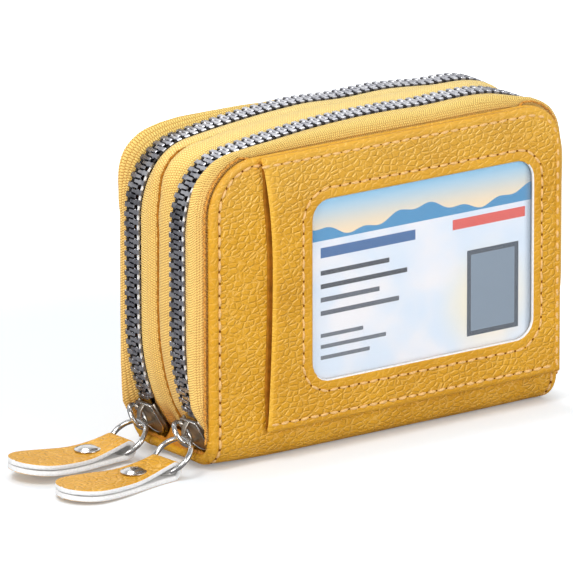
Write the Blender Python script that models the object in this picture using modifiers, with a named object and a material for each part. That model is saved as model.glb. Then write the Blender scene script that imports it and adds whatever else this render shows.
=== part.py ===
"""Card wallet with two zipped compartments, in metres, +Z up.

The wallet stands on its folded bottom. X runs along its length with the zip pulls at the -X end, the front
with the card window faces -Y, and the origin is the middle of the bottom face.
Each zip runs round three sides: up the left, over the top and down the right. The front zip parts the front
cover from the middle divider, and the rear zip parts the back cover from it.
"""

import math

import bmesh
import bpy
from mathutils import Matrix, Vector

OBJECT_NAME = "card_wallet"

# Clearances and sheet thicknesses
GAP = 0.0003
CUT_OVERRUN = 0.002
LEATHER = 0.0016
LINING = 0.0006
BOARD = 0.0007
TAPE = 0.0007

# Covers
COVER_LENGTH = 0.1068
COVER_TOP = 0.0778
COVER_CORNER = 0.0136
COVER_FACE_Y = 0.01705
FOLD_RADIUS = 0.007
FOLD_END_TAPER = 0.0006
BOARD_INSET = 0.0062
LINING_INSET = 0.0024
LINING_FOOT = 0.0055
LINING_SLANT = 0.0060
BOARD_FOOT = 0.0074

# Zip chain, measured at the crest of the teeth
CHAIN_Y = 0.0093
CHAIN_BULGE = 0.0048
CHAIN_RISE = 0.0047
RUN_RADIUS = 0.052
RUN_TOP = 0.0338
SHOULDER_DROP = 0.0178
BROW_INSET = 0.0094
BROW_RISE = 0.0010
CORNER_HANDLE = 0.0095
CHAIN_FOOT = 0.0127
TAPE_FOOT = 0.0062
TOOTH_PITCH = 0.0025
TOOTH_LENGTH = 0.00095
TOOTH_HEIGHT = 0.0022
CORD_HEIGHT = 0.0011
CHAIN_HALF_WIDTH = 0.0029
CORD_WIDTH = 0.0008
TOOTH_REACH = 0.0006
TAPE_SEAT = 0.0046
TAPE_BULGE_DROP = 0.0003
SEAM_DROP = 0.0021
DIVIDER_DROP = 0.0030
DIVIDER_FOOT_SLANT = 0.0040

# Middle divider and what hangs on it
DIVIDER = 0.0016
SLIP_POCKET = 0.0006
SLIP_POCKET_TOP = 0.046
INNER_INSET = 0.0102
INNER_FOOT = 0.0024
PARTITION = 0.0007
PARTITION_TOP = 0.064
PARTITION_COUNT = 5
GUSSET = 0.00025
GUSSET_REACH = 0.0022
GUSSET_TOP = 0.058
GUSSET_FOOT = 0.0036
REAR_PLEAT_COUNT = 2

# Identity card pocket on the front cover
POCKET_SKIN = 0.0006
POCKET_LEFT = 0.0358
POCKET_WAIST_Z = 0.050
POCKET_BOW_TOP = 0.0032
POCKET_BOW_FOOT = 0.0016
POCKET_FOOT = 0.0082
WINDOW_LEFT = 0.0241
WINDOW_RIGHT = 0.0438
WINDOW_FOOT_MARGIN = 0.0063
WINDOW_TOP_MARGIN = 0.0018
WINDOW_CORNER = 0.005
FILM = 0.0002
FILM_LAP = 0.0015
CARD_LENGTH = 0.0856
CARD_HEIGHT = 0.05398
CARD_THICKNESS = 0.00076
CARD_CORNER = 0.00318
CARD_FOOT = 0.0125
CARD_CLEARANCE = 0.0001
POCKET_SEAM = 0.0022

# Zip slider
SLIDER_Z = 0.0088
SLIDER_LENGTH = 0.0092
SLIDER_MOUTH = 0.0033
SLIDER_SHOULDER = 0.0041
SLIDER_PLATE = 0.0008
SLIDER_WALL = 0.0007
SLIDER_LIP = 0.0007
SLIDER_PLAY = 0.0003
POST_WIDTH = 0.0018
POST_LENGTH = 0.0020
CROWN_LENGTH = 0.0078
CROWN_RISE = 0.0032
CROWN_STEP = 0.0007
CROWN_STRAP = 0.0007
CROWN_WIDTH = 0.0012

# Link ring, pull ring, tab and rivet of one pull
LINK_RADIUS = 0.00315
LINK_WIRE = 0.0012
PULL_RADIUS = 0.0054
PULL_WIRE = 0.0012
PULL_TOP_OFFSET = Vector((-0.0064, -0.0021, -0.00068))
PULL_LIFT = 0.000416
LINK_OFFSET = Vector((0.00014, 0.0012, 0.00099))
LINK_TANGENT = Vector((0.05, -0.62, -0.78))
LINK_OUTWARD = Vector((-0.88, -0.40, 0.26))
TAB_LEATHER = 0.00105
TAB_CAVITY = 0.0015
TAB_LENGTH = 0.034
TAB_NECK = 0.0042
TAB_TIP = 0.0072
TAB_FORWARD = 0.0001
TAB_CLOSES = 0.0058
TAB_WIDENS = 0.024
RIVET_SETBACK = 0.0118
RIVET_HEAD = 0.0033
RIVET_HEAD_RISE = 0.0009
RIVET_POST = 0.0012
RIVET_BACK = 0.0026
RIVET_BACK_THICKNESS = 0.0005
PULL_YAW = {"front": math.radians(3.5), "rear": math.radians(1)}

# Bottom stop at the far end of each zip
STOP_LENGTH = 0.0022
STOP_HEIGHT = 0.0026

# Covers open about lines under the chains, on the bottom face
HINGE_HALF_GAP = 0.0003

# How finely the round shapes are cut
FOLD_STEPS = 6
CORNER_STEPS = 7
RUN_STEPS = 5
TOP_STEPS = 4
POCKET_CORNER_STEPS = 2
RING_STEPS = 24
WIRE_STEPS = 6
TURN_STEPS = 20
LOOP_STEPS = 8

PARTS = "parts"
CUTTERS = "cutters"

# Colours follow the photograph: red, green, blue, roughness, metallic
FINISHES = {
    "leather": (0.80, 0.46, 0.05, 0.50, 0.0),
    "tape": (0.86, 0.55, 0.12, 0.80, 0.0),
    "lining": (0.55, 0.22, 0.03, 0.85, 0.0),
    "board": (0.45, 0.40, 0.33, 0.90, 0.0),
    "teeth": (0.42, 0.41, 0.42, 0.30, 1.0),
    "nickel": (0.78, 0.77, 0.76, 0.15, 1.0),
    "film": (0.90, 0.95, 0.98, 0.08, 0.0),
    "card": (0.80, 0.88, 0.93, 0.35, 0.0),
}

# Derived places
COVER_HALF = COVER_LENGTH / 2
CHAIN_SIDE_X = COVER_HALF + CHAIN_BULGE
CHAIN_TOP = COVER_TOP + CHAIN_RISE
SHOULDER_Z = COVER_TOP - SHOULDER_DROP
BROW_X = COVER_HALF - BROW_INSET
BROW_Z = COVER_TOP + BROW_RISE
INNER_HALF_LENGTH = COVER_HALF - INNER_INSET
COVER_BACK_Y = COVER_FACE_Y - LEATHER
TAPE_FLANGE_Y = COVER_BACK_Y - GAP - TAPE / 2
BOARD_Y = TAPE_FLANGE_Y
LINING_Y = TAPE_FLANGE_Y - TAPE / 2 - GAP - LINING / 2
HALF_TOOTH = TOOTH_HEIGHT / 2
TAPE_EDGE_GAP = CHAIN_HALF_WIDTH + GAP
INNER_FLANGE_Y = DIVIDER / 2 + GAP + TAPE / 2
SLIP_POCKET_Y = DIVIDER / 2 + GAP + SLIP_POCKET / 2
BAY_NEAR_Y = INNER_FLANGE_Y + TAPE / 2 + GAP
BAY_FAR_Y = LINING_Y - LINING / 2 - GAP
CARD_Y = COVER_FACE_Y + GAP + CARD_THICKNESS / 2
FILM_Y = CARD_Y + CARD_THICKNESS / 2 + CARD_CLEARANCE + FILM / 2
POCKET_SKIN_Y = FILM_Y + FILM / 2 + CARD_CLEARANCE + POCKET_SKIN / 2
POCKET_FACE_Y = POCKET_SKIN_Y + POCKET_SKIN / 2
POCKET_BACK_Y = COVER_FACE_Y + GAP / 2
CARD_RIGHT = COVER_HALF - POCKET_SEAM - GAP
WINDOW_FOOT = CARD_FOOT + WINDOW_FOOT_MARGIN
WINDOW_TOP = CARD_FOOT + CARD_HEIGHT - WINDOW_TOP_MARGIN


def clear_scene():
    for thing in list(bpy.data.objects):
        bpy.data.objects.remove(thing, do_unlink=True)


def make_collections():
    groups = {}
    for key, name in ((PARTS, OBJECT_NAME), (CUTTERS, OBJECT_NAME + "_cutters")):
        groups[key] = bpy.data.collections.new(name)
        bpy.context.scene.collection.children.link(groups[key])
    return groups


def make_finish(name):
    red, green, blue, roughness, metallic = FINISHES[name]
    finish = bpy.data.materials.new(name)
    finish.use_nodes = True
    shader = finish.node_tree.nodes["Principled BSDF"]
    shader.inputs["Base Color"].default_value = (red, green, blue, 1.0)
    shader.inputs["Roughness"].default_value = roughness
    shader.inputs["Metallic"].default_value = metallic
    return finish


def finished(thing, finish):
    """Gives an object its material, a shared one for each finish."""
    shared = bpy.data.materials.get(finish) or make_finish(finish)
    thing.data.materials.clear()
    thing.data.materials.append(shared)
    return thing


def place(mesh, name, groups, finish, key=PARTS):
    thing = bpy.data.objects.new(name, mesh)
    groups[key].objects.link(thing)
    if key == CUTTERS:
        thing.hide_render = True
        thing.display_type = "WIRE"
        return thing
    return finished(thing, finish)


def empty(name, groups, at, matrix=None):
    """An axis for a moving piece, placed on its joint."""
    axis = bpy.data.objects.new(name, None)
    groups[PARTS].objects.link(axis)
    axis.matrix_world = Matrix.Translation(at) @ (matrix or Matrix.Identity(4))
    return axis


def hang(thing, axis):
    """Parents a piece to its axis and leaves it where it is."""
    bpy.context.view_layer.update()
    world = thing.matrix_world.copy()
    thing.parent = axis
    thing.matrix_parent_inverse = axis.matrix_world.inverted()
    thing.matrix_world = world


def mesh_from(bm, name):
    bmesh.ops.recalc_face_normals(bm, faces=bm.faces)
    mesh = bpy.data.meshes.new(name)
    bm.to_mesh(mesh)
    bm.free()
    return mesh


def loft(name, sections, closed):
    """A surface through sections of as many points each: a capped tube if closed, and else an open sheet."""
    bm = bmesh.new()
    rings = [[bm.verts.new(point) for point in section] for section in sections]
    count = len(rings[0])
    for here, there in zip(rings, rings[1:]):
        for index in range(count if closed else count - 1):
            after = (index + 1) % count
            bm.faces.new((here[index], here[after], there[after], there[index]))
    if closed:
        bm.faces.new(rings[0])
        bm.faces.new(list(reversed(rings[-1])))
    return mesh_from(bm, name)


def thicken(thing, thickness, offset=0.0):
    solid = thing.modifiers.new("thickness", "SOLIDIFY")
    solid.thickness = thickness
    solid.offset = offset
    return thing


def cut(thing, cutter, operation="DIFFERENCE"):
    boolean = thing.modifiers.new(operation.lower(), "BOOLEAN")
    boolean.operation = operation
    boolean.object = cutter
    return thing


def round_outline(left, right, foot, top, radius, steps=4):
    """A rectangle with four round corners, as points from the lower left corner round."""
    points = []
    corners = (
        (left + radius, foot + radius, math.pi),
        (right - radius, foot + radius, 1.5 * math.pi),
        (right - radius, top - radius, 0.0),
        (left + radius, top - radius, 0.5 * math.pi),
    )
    for x, z, start in corners:
        for step in range(steps + 1):
            angle = start + 0.5 * math.pi * step / steps
            points.append((x + radius * math.cos(angle), z + radius * math.sin(angle)))
    return points


def plate(name, outline, y, thickness, groups, finish, key=PARTS):
    """A flat plate upright in the XZ plane, from its outline, its middle at y."""
    shape = bpy.data.curves.new(name + "_outline", "CURVE")
    shape.dimensions = "2D"
    shape.fill_mode = "BOTH"
    shape.extrude = thickness / 2
    line = shape.splines.new("POLY")
    line.points.add(len(outline) - 1)
    for point, (x, z) in zip(line.points, outline):
        point.co = (x, z, 0.0, 1.0)
    line.use_cyclic_u = True
    drawn = bpy.data.objects.new(name + "_drawn", shape)
    groups[key].objects.link(drawn)
    drawn.rotation_euler = (math.pi / 2, 0.0, 0.0)
    drawn.location = (0.0, y, 0.0)
    bpy.context.view_layer.update()
    mesh = bpy.data.meshes.new_from_object(drawn.evaluated_get(bpy.context.evaluated_depsgraph_get()))
    bm = bmesh.new()
    bm.from_mesh(mesh)
    bmesh.ops.remove_doubles(bm, verts=bm.verts, dist=GAP / 100)
    bm.to_mesh(mesh)
    bm.free()
    mesh.name = name
    thing = place(mesh, name, groups, finish, key)
    thing.matrix_world = drawn.matrix_world.copy()
    bpy.data.objects.remove(drawn, do_unlink=True)
    return thing


def box(name, low, high, groups, finish, key=PARTS):
    """A box between two corners."""
    bm = bmesh.new()
    bmesh.ops.create_cube(bm, size=1.0)
    size = Vector(high) - Vector(low)
    middle = (Vector(high) + Vector(low)) / 2
    bmesh.ops.scale(bm, vec=size, verts=bm.verts)
    mesh = mesh_from(bm, name)
    thing = place(mesh, name, groups, finish, key)
    thing.location = middle
    return thing


def turned(name, profile, groups, finish, key=PARTS):
    """A turned piece about Z, from (radius, height) pairs read from the top down, both ends on the axis."""
    bm = bmesh.new()
    points = [bm.verts.new((radius, 0.0, height)) for radius, height in profile]
    for one, other in zip(points, points[1:]):
        bm.edges.new((one, other))
    mesh = bpy.data.meshes.new(name)
    bm.to_mesh(mesh)
    bm.free()
    thing = place(mesh, name, groups, finish, key)
    screw = thing.modifiers.new("turn", "SCREW")
    screw.steps = TURN_STEPS
    screw.render_steps = TURN_STEPS
    screw.use_merge_vertices = True
    screw.merge_threshold = GAP / 10
    return thing


def crest_side():
    """Crest of the chain from the foot tangent up to the shoulder, as (x, z) on the left."""
    points = []
    low = math.asin((RUN_TOP - TAPE_FOOT) / RUN_RADIUS)
    for step in range(RUN_STEPS + 1):
        angle = low * (1 - step / RUN_STEPS)
        points.append((-CHAIN_SIDE_X + RUN_RADIUS * (1 - math.cos(angle)), RUN_TOP - RUN_RADIUS * math.sin(angle)))
    points.append((-CHAIN_SIDE_X, SHOULDER_Z))
    return points


def crest_corner():
    """Crest round the upper left corner, after the shoulder up to the brow."""
    slope = 2 * (CHAIN_TOP - BROW_Z) / BROW_X
    length = math.hypot(1.0, slope)
    start = (-CHAIN_SIDE_X, SHOULDER_Z)
    end = (-BROW_X, BROW_Z)
    handles = (
        (start[0], start[1] + CORNER_HANDLE),
        (end[0] - CORNER_HANDLE / length, end[1] - CORNER_HANDLE * slope / length),
    )
    points = []
    for step in range(1, CORNER_STEPS + 1):
        t = step / CORNER_STEPS
        weights = ((1 - t) ** 3, 3 * t * (1 - t) ** 2, 3 * t * t * (1 - t), t**3)
        corners = (start, *handles, end)
        points.append(tuple(sum(w * c[axis] for w, c in zip(weights, corners)) for axis in (0, 1)))
    return points


def crest_top():
    """Crest over the top, after the brow up to the middle."""
    points = []
    for step in range(1, TOP_STEPS + 1):
        x = -BROW_X * (1 - step / TOP_STEPS)
        points.append((x, CHAIN_TOP - (CHAIN_TOP - BROW_Z) * (x / BROW_X) ** 2))
    return points


def cover_side(inset):
    """Edge of the cover at the same stations as the crest, moved in by the inset, on the left half."""
    points = []
    shoulder = COVER_TOP - COVER_CORNER
    for step in range(RUN_STEPS + 2):
        z = TAPE_FOOT + (shoulder - TAPE_FOOT) * step / (RUN_STEPS + 1)
        points.append((-COVER_HALF + inset, z))
    radius = COVER_CORNER - inset
    for step in range(1, CORNER_STEPS + 1):
        angle = 0.5 * math.pi * step / CORNER_STEPS
        points.append((-COVER_HALF + COVER_CORNER - radius * math.cos(angle), shoulder + radius * math.sin(angle)))
    for step in range(1, TOP_STEPS + 1):
        points.append((-(COVER_HALF - COVER_CORNER) * (1 - step / TOP_STEPS), COVER_TOP - inset))
    return points


def both_halves(left):
    """The left half of a line and its mirror image, from the left foot to the right foot."""
    return left + [(-x, z) for x, z in reversed(left[:-1])]


def crest_line():
    return both_halves(crest_side() + crest_corner() + crest_top())


def cover_line(inset):
    return both_halves(cover_side(inset))


def normals_of(line):
    """Unit normals that point out of the wallet, one at each point of a line that runs left, top, right."""
    found = []
    for index in range(len(line)):
        before = Vector(line[max(index - 1, 0)])
        after = Vector(line[min(index + 1, len(line) - 1)])
        along = (after - before).normalized()
        found.append(Vector((-along.y, along.x)))
    return found


def sunk(line, drop):
    """A line moved into the wallet along its normals."""
    return [tuple(Vector(point) - normal * drop) for point, normal in zip(line, normals_of(line))]


def ease(value):
    value = min(max(value, 0.0), 1.0)
    return value * value * (3 - 2 * value)


def at_spacing(line, start_z, spacings):
    """Points and normals along a line, from where it first rises over start_z, at the given steps."""
    lengths = [0.0]
    for one, other in zip(line, line[1:]):
        lengths.append(lengths[-1] + (Vector(other) - Vector(one)).length)
    normals = normals_of(line)
    first = next(index for index, point in enumerate(line) if point[1] > start_z)
    share = (start_z - line[first - 1][1]) / (line[first][1] - line[first - 1][1])
    travelled = lengths[first - 1] + share * (lengths[first] - lengths[first - 1])
    last = lengths[-1] - travelled
    found = []
    for spacing in spacings:
        travelled += spacing
        if travelled > last:
            break
        index = next(i for i in range(1, len(line)) if lengths[i] >= travelled)
        share = (travelled - lengths[index - 1]) / (lengths[index] - lengths[index - 1])
        point = Vector(line[index - 1]).lerp(Vector(line[index]), share)
        normal = normals[index - 1].lerp(normals[index], share).normalized()
        found.append((point, normal))
    return found


def fine_crest():
    """The crest with as many points as its teeth need."""
    line = []
    coarse = crest_line()
    normals = normals_of(coarse)
    fine = 4
    for index in range(len(coarse) - 1):
        one, other = Vector(coarse[index]), Vector(coarse[index + 1])
        reach = (other - one).length / 3
        along_one = Vector((normals[index].y, -normals[index].x)) * reach
        along_other = Vector((normals[index + 1].y, -normals[index + 1].x)) * reach
        for step in range(fine):
            t = step / fine
            point = (
                one * (1 - t) ** 3
                + (one + along_one) * 3 * t * (1 - t) ** 2
                + (other - along_other) * 3 * t * t * (1 - t)
                + other * t**3
            )
            line.append(tuple(point))
    line.append(coarse[-1])
    return line


def slider_clearance(x, z):
    """One beside the parked slider and nought above it: how far the tape's edge stands aside."""
    if x > 0:
        return 0.0
    half = SLIDER_LENGTH / 2
    return 1.0 - ease((z - SLIDER_Z - half) / half)


def outer_tape(zone, side, groups):
    """The tape from the cover's edge out to the chain."""
    crest = crest_line()
    flange = cover_line(BOARD_INSET - TAPE)
    edge = cover_line(TAPE)
    shoulder = sunk(crest, HALF_TOOTH + TAPE_BULGE_DROP)
    seat = sunk(crest, HALF_TOOTH)
    parked = cover_line(-TAPE)
    sections = []
    for index in range(len(crest)):
        aside = slider_clearance(*seat[index])
        near = Vector(seat[index]).lerp(Vector(parked[index]), aside)
        bulge = Vector(shoulder[index]).lerp(Vector(parked[index]), aside)
        near_y = CHAIN_Y + TAPE_EDGE_GAP + aside * (TAPE_FLANGE_Y - CHAIN_Y - TAPE_EDGE_GAP - GAP)
        bulge_y = near_y + (TAPE_FLANGE_Y - near_y) * 0.8
        rails = (
            (flange[index], TAPE_FLANGE_Y),
            (edge[index], TAPE_FLANGE_Y),
            (bulge, bulge_y),
            (near, near_y),
        )
        sections.append([(point[0], side * y, point[1]) for point, y in rails])
    mesh = loft(zone + "_outer_tape", sections, closed=False)
    tape = place(mesh, zone + "_outer_tape", groups, "tape")
    return thicken(tape, TAPE)


def inner_tape(zone, side, groups):
    """The tape from the middle seam out to the chain."""
    crest = crest_line()
    flange = sunk(crest, DIVIDER_DROP + TAPE_SEAT)
    foot = sunk(crest, DIVIDER_DROP + TAPE)
    seam = sunk(crest, SEAM_DROP)
    seat = sunk(crest, HALF_TOOTH)
    sections = []
    for index in range(len(crest)):
        aside = slider_clearance(*seat[index])
        near_y = CHAIN_Y - TAPE_EDGE_GAP - aside * (SLIDER_SHOULDER - TAPE_EDGE_GAP + GAP + TAPE)
        near = Vector(seat[index]).lerp(Vector(seam[index]), aside)
        rails = (
            (flange[index], INNER_FLANGE_Y),
            (foot[index], INNER_FLANGE_Y),
            (seam[index], INNER_FLANGE_Y + TAPE),
            (near, near_y),
        )
        sections.append([(point[0], side * y, point[1]) for point, y in rails])
    mesh = loft(zone + "_inner_tape", sections, closed=False)
    tape = place(mesh, zone + "_inner_tape", groups, "tape")
    return thicken(tape, TAPE)


def teeth_row(name, side, reach_sign, phase, groups):
    """One row of teeth on its cord. The row hangs on the side of the chain that reach_sign points away from."""
    gap = TOOTH_PITCH - TOOTH_LENGTH
    line = fine_crest()
    count = int(3 * len(line) * SHOULDER_Z / TOOTH_PITCH)
    spacings = [phase + TOOTH_LENGTH / 2]
    for _ in range(count):
        spacings += [TOOTH_LENGTH, gap]
    stations = at_spacing(line, CHAIN_FOOT, spacings)
    if len(stations) % 2:
        stations.pop()
    far = -reach_sign * CHAIN_HALF_WIDTH
    near = -reach_sign * (CHAIN_HALF_WIDTH - CORD_WIDTH)
    sections = []
    for point, normal in stations:
        middle = point - normal * HALF_TOOTH
        low = middle - normal * CORD_HEIGHT / 2
        high = middle + normal * CORD_HEIGHT / 2
        y = side * CHAIN_Y
        sections.append([
            (middle.x, y + far, middle.y),
            (high.x, y + near, high.y),
            (low.x, y + near, low.y),
        ])
    mesh = loft(name, sections, closed=True)
    bm = bmesh.new()
    bm.from_mesh(mesh)
    bm.faces.ensure_lookup_table()
    teeth = [bm.faces[3 * index + 1] for index in range(0, len(stations) - 1, 2)]
    grown = bmesh.ops.extrude_face_region(bm, geom=teeth)["geom"]
    tips = [piece for piece in grown if isinstance(piece, bmesh.types.BMFace)]
    bmesh.ops.delete(bm, geom=teeth, context="FACES_ONLY")
    spread = TOOTH_HEIGHT / CORD_HEIGHT
    for face in tips:
        corners = list(face.verts)
        pairs = [(corners[0], corners[1]), (corners[2], corners[3])]
        if abs((corners[0].co - corners[1].co).length - CORD_HEIGHT) > abs(
            (corners[1].co - corners[2].co).length - CORD_HEIGHT
        ):
            pairs = [(corners[1], corners[2]), (corners[3], corners[0])]
        for one, other in pairs:
            middle = (one.co + other.co) / 2
            for vert in (one, other):
                vert.co = middle + (vert.co - middle) * spread
                vert.co.y = side * CHAIN_Y + reach_sign * TOOTH_REACH
    bmesh.ops.recalc_face_normals(bm, faces=bm.faces)
    bm.to_mesh(mesh)
    bm.free()
    return place(mesh, name, groups, "teeth")


def cover_rows(drop=0.0):
    """Rows of a cover from its hinge edge round the fold to its top, as (y, z, half width), less a drop inwards."""
    flat_end = COVER_FACE_Y - FOLD_RADIUS
    rows = [(CHAIN_Y + HINGE_HALF_GAP, drop, COVER_HALF - FOLD_END_TAPER)]
    radius = FOLD_RADIUS - drop
    for step in range(FOLD_STEPS + 1):
        angle = 0.5 * math.pi * step / FOLD_STEPS
        taper = FOLD_END_TAPER * (1 - math.sin(angle))
        rows.append((
            flat_end + radius * math.sin(angle),
            FOLD_RADIUS - radius * math.cos(angle),
            COVER_HALF - taper,
        ))
    shoulder = COVER_TOP - COVER_CORNER
    for step in range(CORNER_STEPS + 1):
        angle = 0.5 * math.pi * step / CORNER_STEPS
        rows.append((
            COVER_FACE_Y - drop,
            shoulder + COVER_CORNER * math.sin(angle),
            COVER_HALF - COVER_CORNER * (1 - math.cos(angle)),
        ))
    return rows


def cover(name, side, groups):
    """A leather cover: the panel, the bottom fold and its share of the bottom, as one bent sheet."""
    sections = []
    for y, z, half in cover_rows():
        sections.append([(-half, side * y, z), (0.0, side * y, z), (half, side * y, z)])
    mesh = loft(name, sections, closed=False)
    thing = place(mesh, name, groups, "leather")
    outward = side * mesh.polygons[len(mesh.polygons) - 1].normal.y
    return thicken(thing, LEATHER, -1.0 if outward > 0 else 1.0)


def upright_outline(inset, foot, slant):
    """The cover's outline moved in and cut off at the foot, with both lower corners slanted off."""
    line = [point for point in cover_line(inset) if point[1] > foot + 2 * slant]
    half = line[-1][0]
    low = foot + 2 * slant
    return [(slant - half, foot), (-half, low), *line, (half, low), (half - slant, foot)]


def cover_backing(zone, side, groups):
    """The stiffening board and the lining behind a cover."""
    board = plate(zone + "_board", upright_outline(BOARD_INSET, BOARD_FOOT, GAP), side * BOARD_Y, BOARD, groups, "board")
    lining = plate(
        zone + "_lining", upright_outline(LINING_INSET, LINING_FOOT, LINING_SLANT), side * LINING_Y, LINING, groups, "lining"
    )
    return [board, lining]


def pocket_outline():
    """Outline of the pocket panel: a bowed left edge, and the cover's own edge at the right."""
    points = []
    steps = 4
    for step in range(steps + 1):
        z = COVER_TOP - (COVER_TOP - POCKET_WAIST_Z) * step / steps
        bow = POCKET_BOW_TOP * ((z - POCKET_WAIST_Z) / (COVER_TOP - POCKET_WAIST_Z)) ** 2
        points.append((-POCKET_LEFT - bow, z))
    for step in range(1, steps + 1):
        z = POCKET_WAIST_Z - (POCKET_WAIST_Z - POCKET_FOOT) * step / steps
        bow = POCKET_BOW_FOOT * ((POCKET_WAIST_Z - z) / (POCKET_WAIST_Z - POCKET_FOOT)) ** 2
        points.append((-POCKET_LEFT - bow, z))
    right = [point for point in cover_line(0.0) if point[0] > 0 and point[1] > POCKET_FOOT]
    points.append((COVER_HALF, POCKET_FOOT))
    points += list(reversed(right))
    return points


def window_outline(lap=0.0):
    return round_outline(
        -WINDOW_LEFT - lap, WINDOW_RIGHT + lap, WINDOW_FOOT - lap, WINDOW_TOP + lap, WINDOW_CORNER
    )


def card_outline():
    return round_outline(CARD_RIGHT - CARD_LENGTH, CARD_RIGHT, CARD_FOOT, CARD_FOOT + CARD_HEIGHT, CARD_CORNER)


def identity_pocket(groups):
    """The pocket panel with its card space, open at the left, its window, the film and the card."""
    thickness = POCKET_FACE_Y - POCKET_BACK_Y
    panel = plate(
        "id_pocket_panel", pocket_outline(), -(POCKET_FACE_Y + POCKET_BACK_Y) / 2, thickness, groups, "leather"
    )
    space_front = POCKET_SKIN_Y - POCKET_SKIN / 2
    space = box(
        "card_space",
        (-COVER_HALF, -space_front, CARD_FOOT - GAP),
        (CARD_RIGHT + GAP, -POCKET_BACK_Y + CUT_OVERRUN, CARD_FOOT + CARD_HEIGHT + GAP),
        groups,
        "card",
        CUTTERS,
    )
    hole = plate("window_hole", window_outline(), -POCKET_SKIN_Y, POCKET_SKIN + CUT_OVERRUN, groups, "film", CUTTERS)
    cut(panel, space)
    cut(panel, hole)
    film = plate("window_film", window_outline(FILM_LAP), -FILM_Y, FILM, groups, "film")
    card = plate("insert_card", card_outline(), -CARD_Y, CARD_THICKNESS, groups, "card")
    return [panel, film], card


def spine(groups):
    """The strip of leather under the divider, between the two hinge lines."""
    half = COVER_HALF - FOLD_END_TAPER
    reach = CHAIN_Y - HINGE_HALF_GAP
    return box("spine", (-half, -reach, 0.0), (half, reach, LEATHER), groups, "leather")


def middle_divider(groups):
    line = [point for point in sunk(crest_line(), DIVIDER_DROP) if point[1] > INNER_FOOT]
    foot = LEATHER + GAP
    left, right = line[0], line[-1]
    outline = [(left[0] + DIVIDER_FOOT_SLANT, foot), *line, (right[0] - DIVIDER_FOOT_SLANT, foot)]
    return plate("middle_divider", outline, 0.0, DIVIDER, groups, "leather")


def slip_pocket(groups):
    outline = round_outline(-INNER_HALF_LENGTH, INNER_HALF_LENGTH, INNER_FOOT, SLIP_POCKET_TOP, CARD_CORNER, POCKET_CORNER_STEPS)
    return plate("divider_slip_pocket", outline, SLIP_POCKET_Y, SLIP_POCKET, groups, "lining")


def partition_places():
    pitch = (BAY_FAR_Y - BAY_NEAR_Y) / (PARTITION_COUNT + 1)
    return [-(BAY_NEAR_Y + pitch * (index + 1)) for index in range(PARTITION_COUNT)]


def partitions(groups):
    """The accordion panels of the front compartment, each on its own fold line at its foot."""
    outline = round_outline(-INNER_HALF_LENGTH, INNER_HALF_LENGTH, INNER_FOOT, PARTITION_TOP, CARD_CORNER, POCKET_CORNER_STEPS)
    panels = []
    for index, y in enumerate(partition_places()):
        name = f"card_partition_{index + 1}"
        panel = plate(name, outline, y, PARTITION, groups, "lining")
        axis = empty(name + "_fold", groups, (0.0, y, INNER_FOOT))
        hang(panel, axis)
        panels.append(panel)
    return panels


def gusset(name, end, side, pleats, groups):
    """A pleated side wall of one compartment, folded together while it is shut."""
    folds = 2 * pleats
    inner = INNER_HALF_LENGTH + GAP + GUSSET
    sections = []
    for index in range(folds + 1):
        y = side * (BAY_NEAR_Y + GUSSET + (BAY_FAR_Y - BAY_NEAR_Y - 2 * GUSSET) * index / folds)
        x = end * (inner + (GUSSET_REACH if index % 2 == 0 else 0.0))
        sections.append([(x, y, GUSSET_FOOT), (x, y, GUSSET_TOP)])
    mesh = loft(name, sections, closed=False)
    return thicken(place(mesh, name, groups, "lining"), GUSSET)


def gussets(groups):
    pieces = []
    for zone, side, pleats in (("front", -1, PARTITION_COUNT + 1), ("rear", 1, REAR_PLEAT_COUNT)):
        for hand, end in (("left", -1), ("right", 1)):
            pieces.append(gusset(f"{zone}_{hand}_gusset", end, side, pleats, groups))
    return pieces


def bottom_stop(zone, side, groups):
    """The metal stop below the last teeth at the right end of a zip."""
    angle = math.asin((RUN_TOP - CHAIN_FOOT + GAP + STOP_LENGTH / 2) / RUN_RADIUS)
    crest = Vector((CHAIN_SIDE_X - RUN_RADIUS * (1 - math.cos(angle)), 0.0, RUN_TOP - RUN_RADIUS * math.sin(angle)))
    inward = Vector((-math.cos(angle), 0.0, math.sin(angle)))
    middle = crest + inward * HALF_TOOTH
    half = Vector((STOP_HEIGHT / 2, CHAIN_HALF_WIDTH, STOP_LENGTH / 2))
    stop = box(zone + "_bottom_stop", -half, half, groups, "nickel")
    stop.location = (middle.x, side * CHAIN_Y, middle.z)
    stop.rotation_euler = (0.0, angle, 0.0)
    return stop


def slider_frame(side):
    """Place and directions of a parked slider: local X across the chain, Y up along it, Z out of the wallet."""
    angle = math.asin((RUN_TOP - SLIDER_Z) / RUN_RADIUS)
    crest = Vector((
        -CHAIN_SIDE_X + RUN_RADIUS * (1 - math.cos(angle)),
        side * CHAIN_Y,
        RUN_TOP - RUN_RADIUS * math.sin(angle),
    ))
    across = Vector((0.0, -1.0, 0.0))
    along = Vector((-math.sin(angle), 0.0, math.cos(angle)))
    out = Vector((-math.cos(angle), 0.0, -math.sin(angle)))
    middle = crest - out * HALF_TOOTH
    turn = Matrix((across, along, out)).transposed().to_4x4()
    return middle, turn


def slider_outline():
    """The slider's upper plate: narrow where the closed chain leaves it, wide and round at its nose."""
    top = SLIDER_LENGTH / 2
    waist = -SLIDER_LENGTH * 0.15
    outline = [(SLIDER_MOUTH, top), (-SLIDER_MOUTH, top), (-SLIDER_SHOULDER, waist)]
    steps = 6
    for step in range(1, steps):
        angle = math.pi * step / steps
        outline.append((-SLIDER_SHOULDER * math.cos(angle), waist - (top + waist) * math.sin(angle)))
    outline.append((SLIDER_SHOULDER, waist))
    return outline


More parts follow.
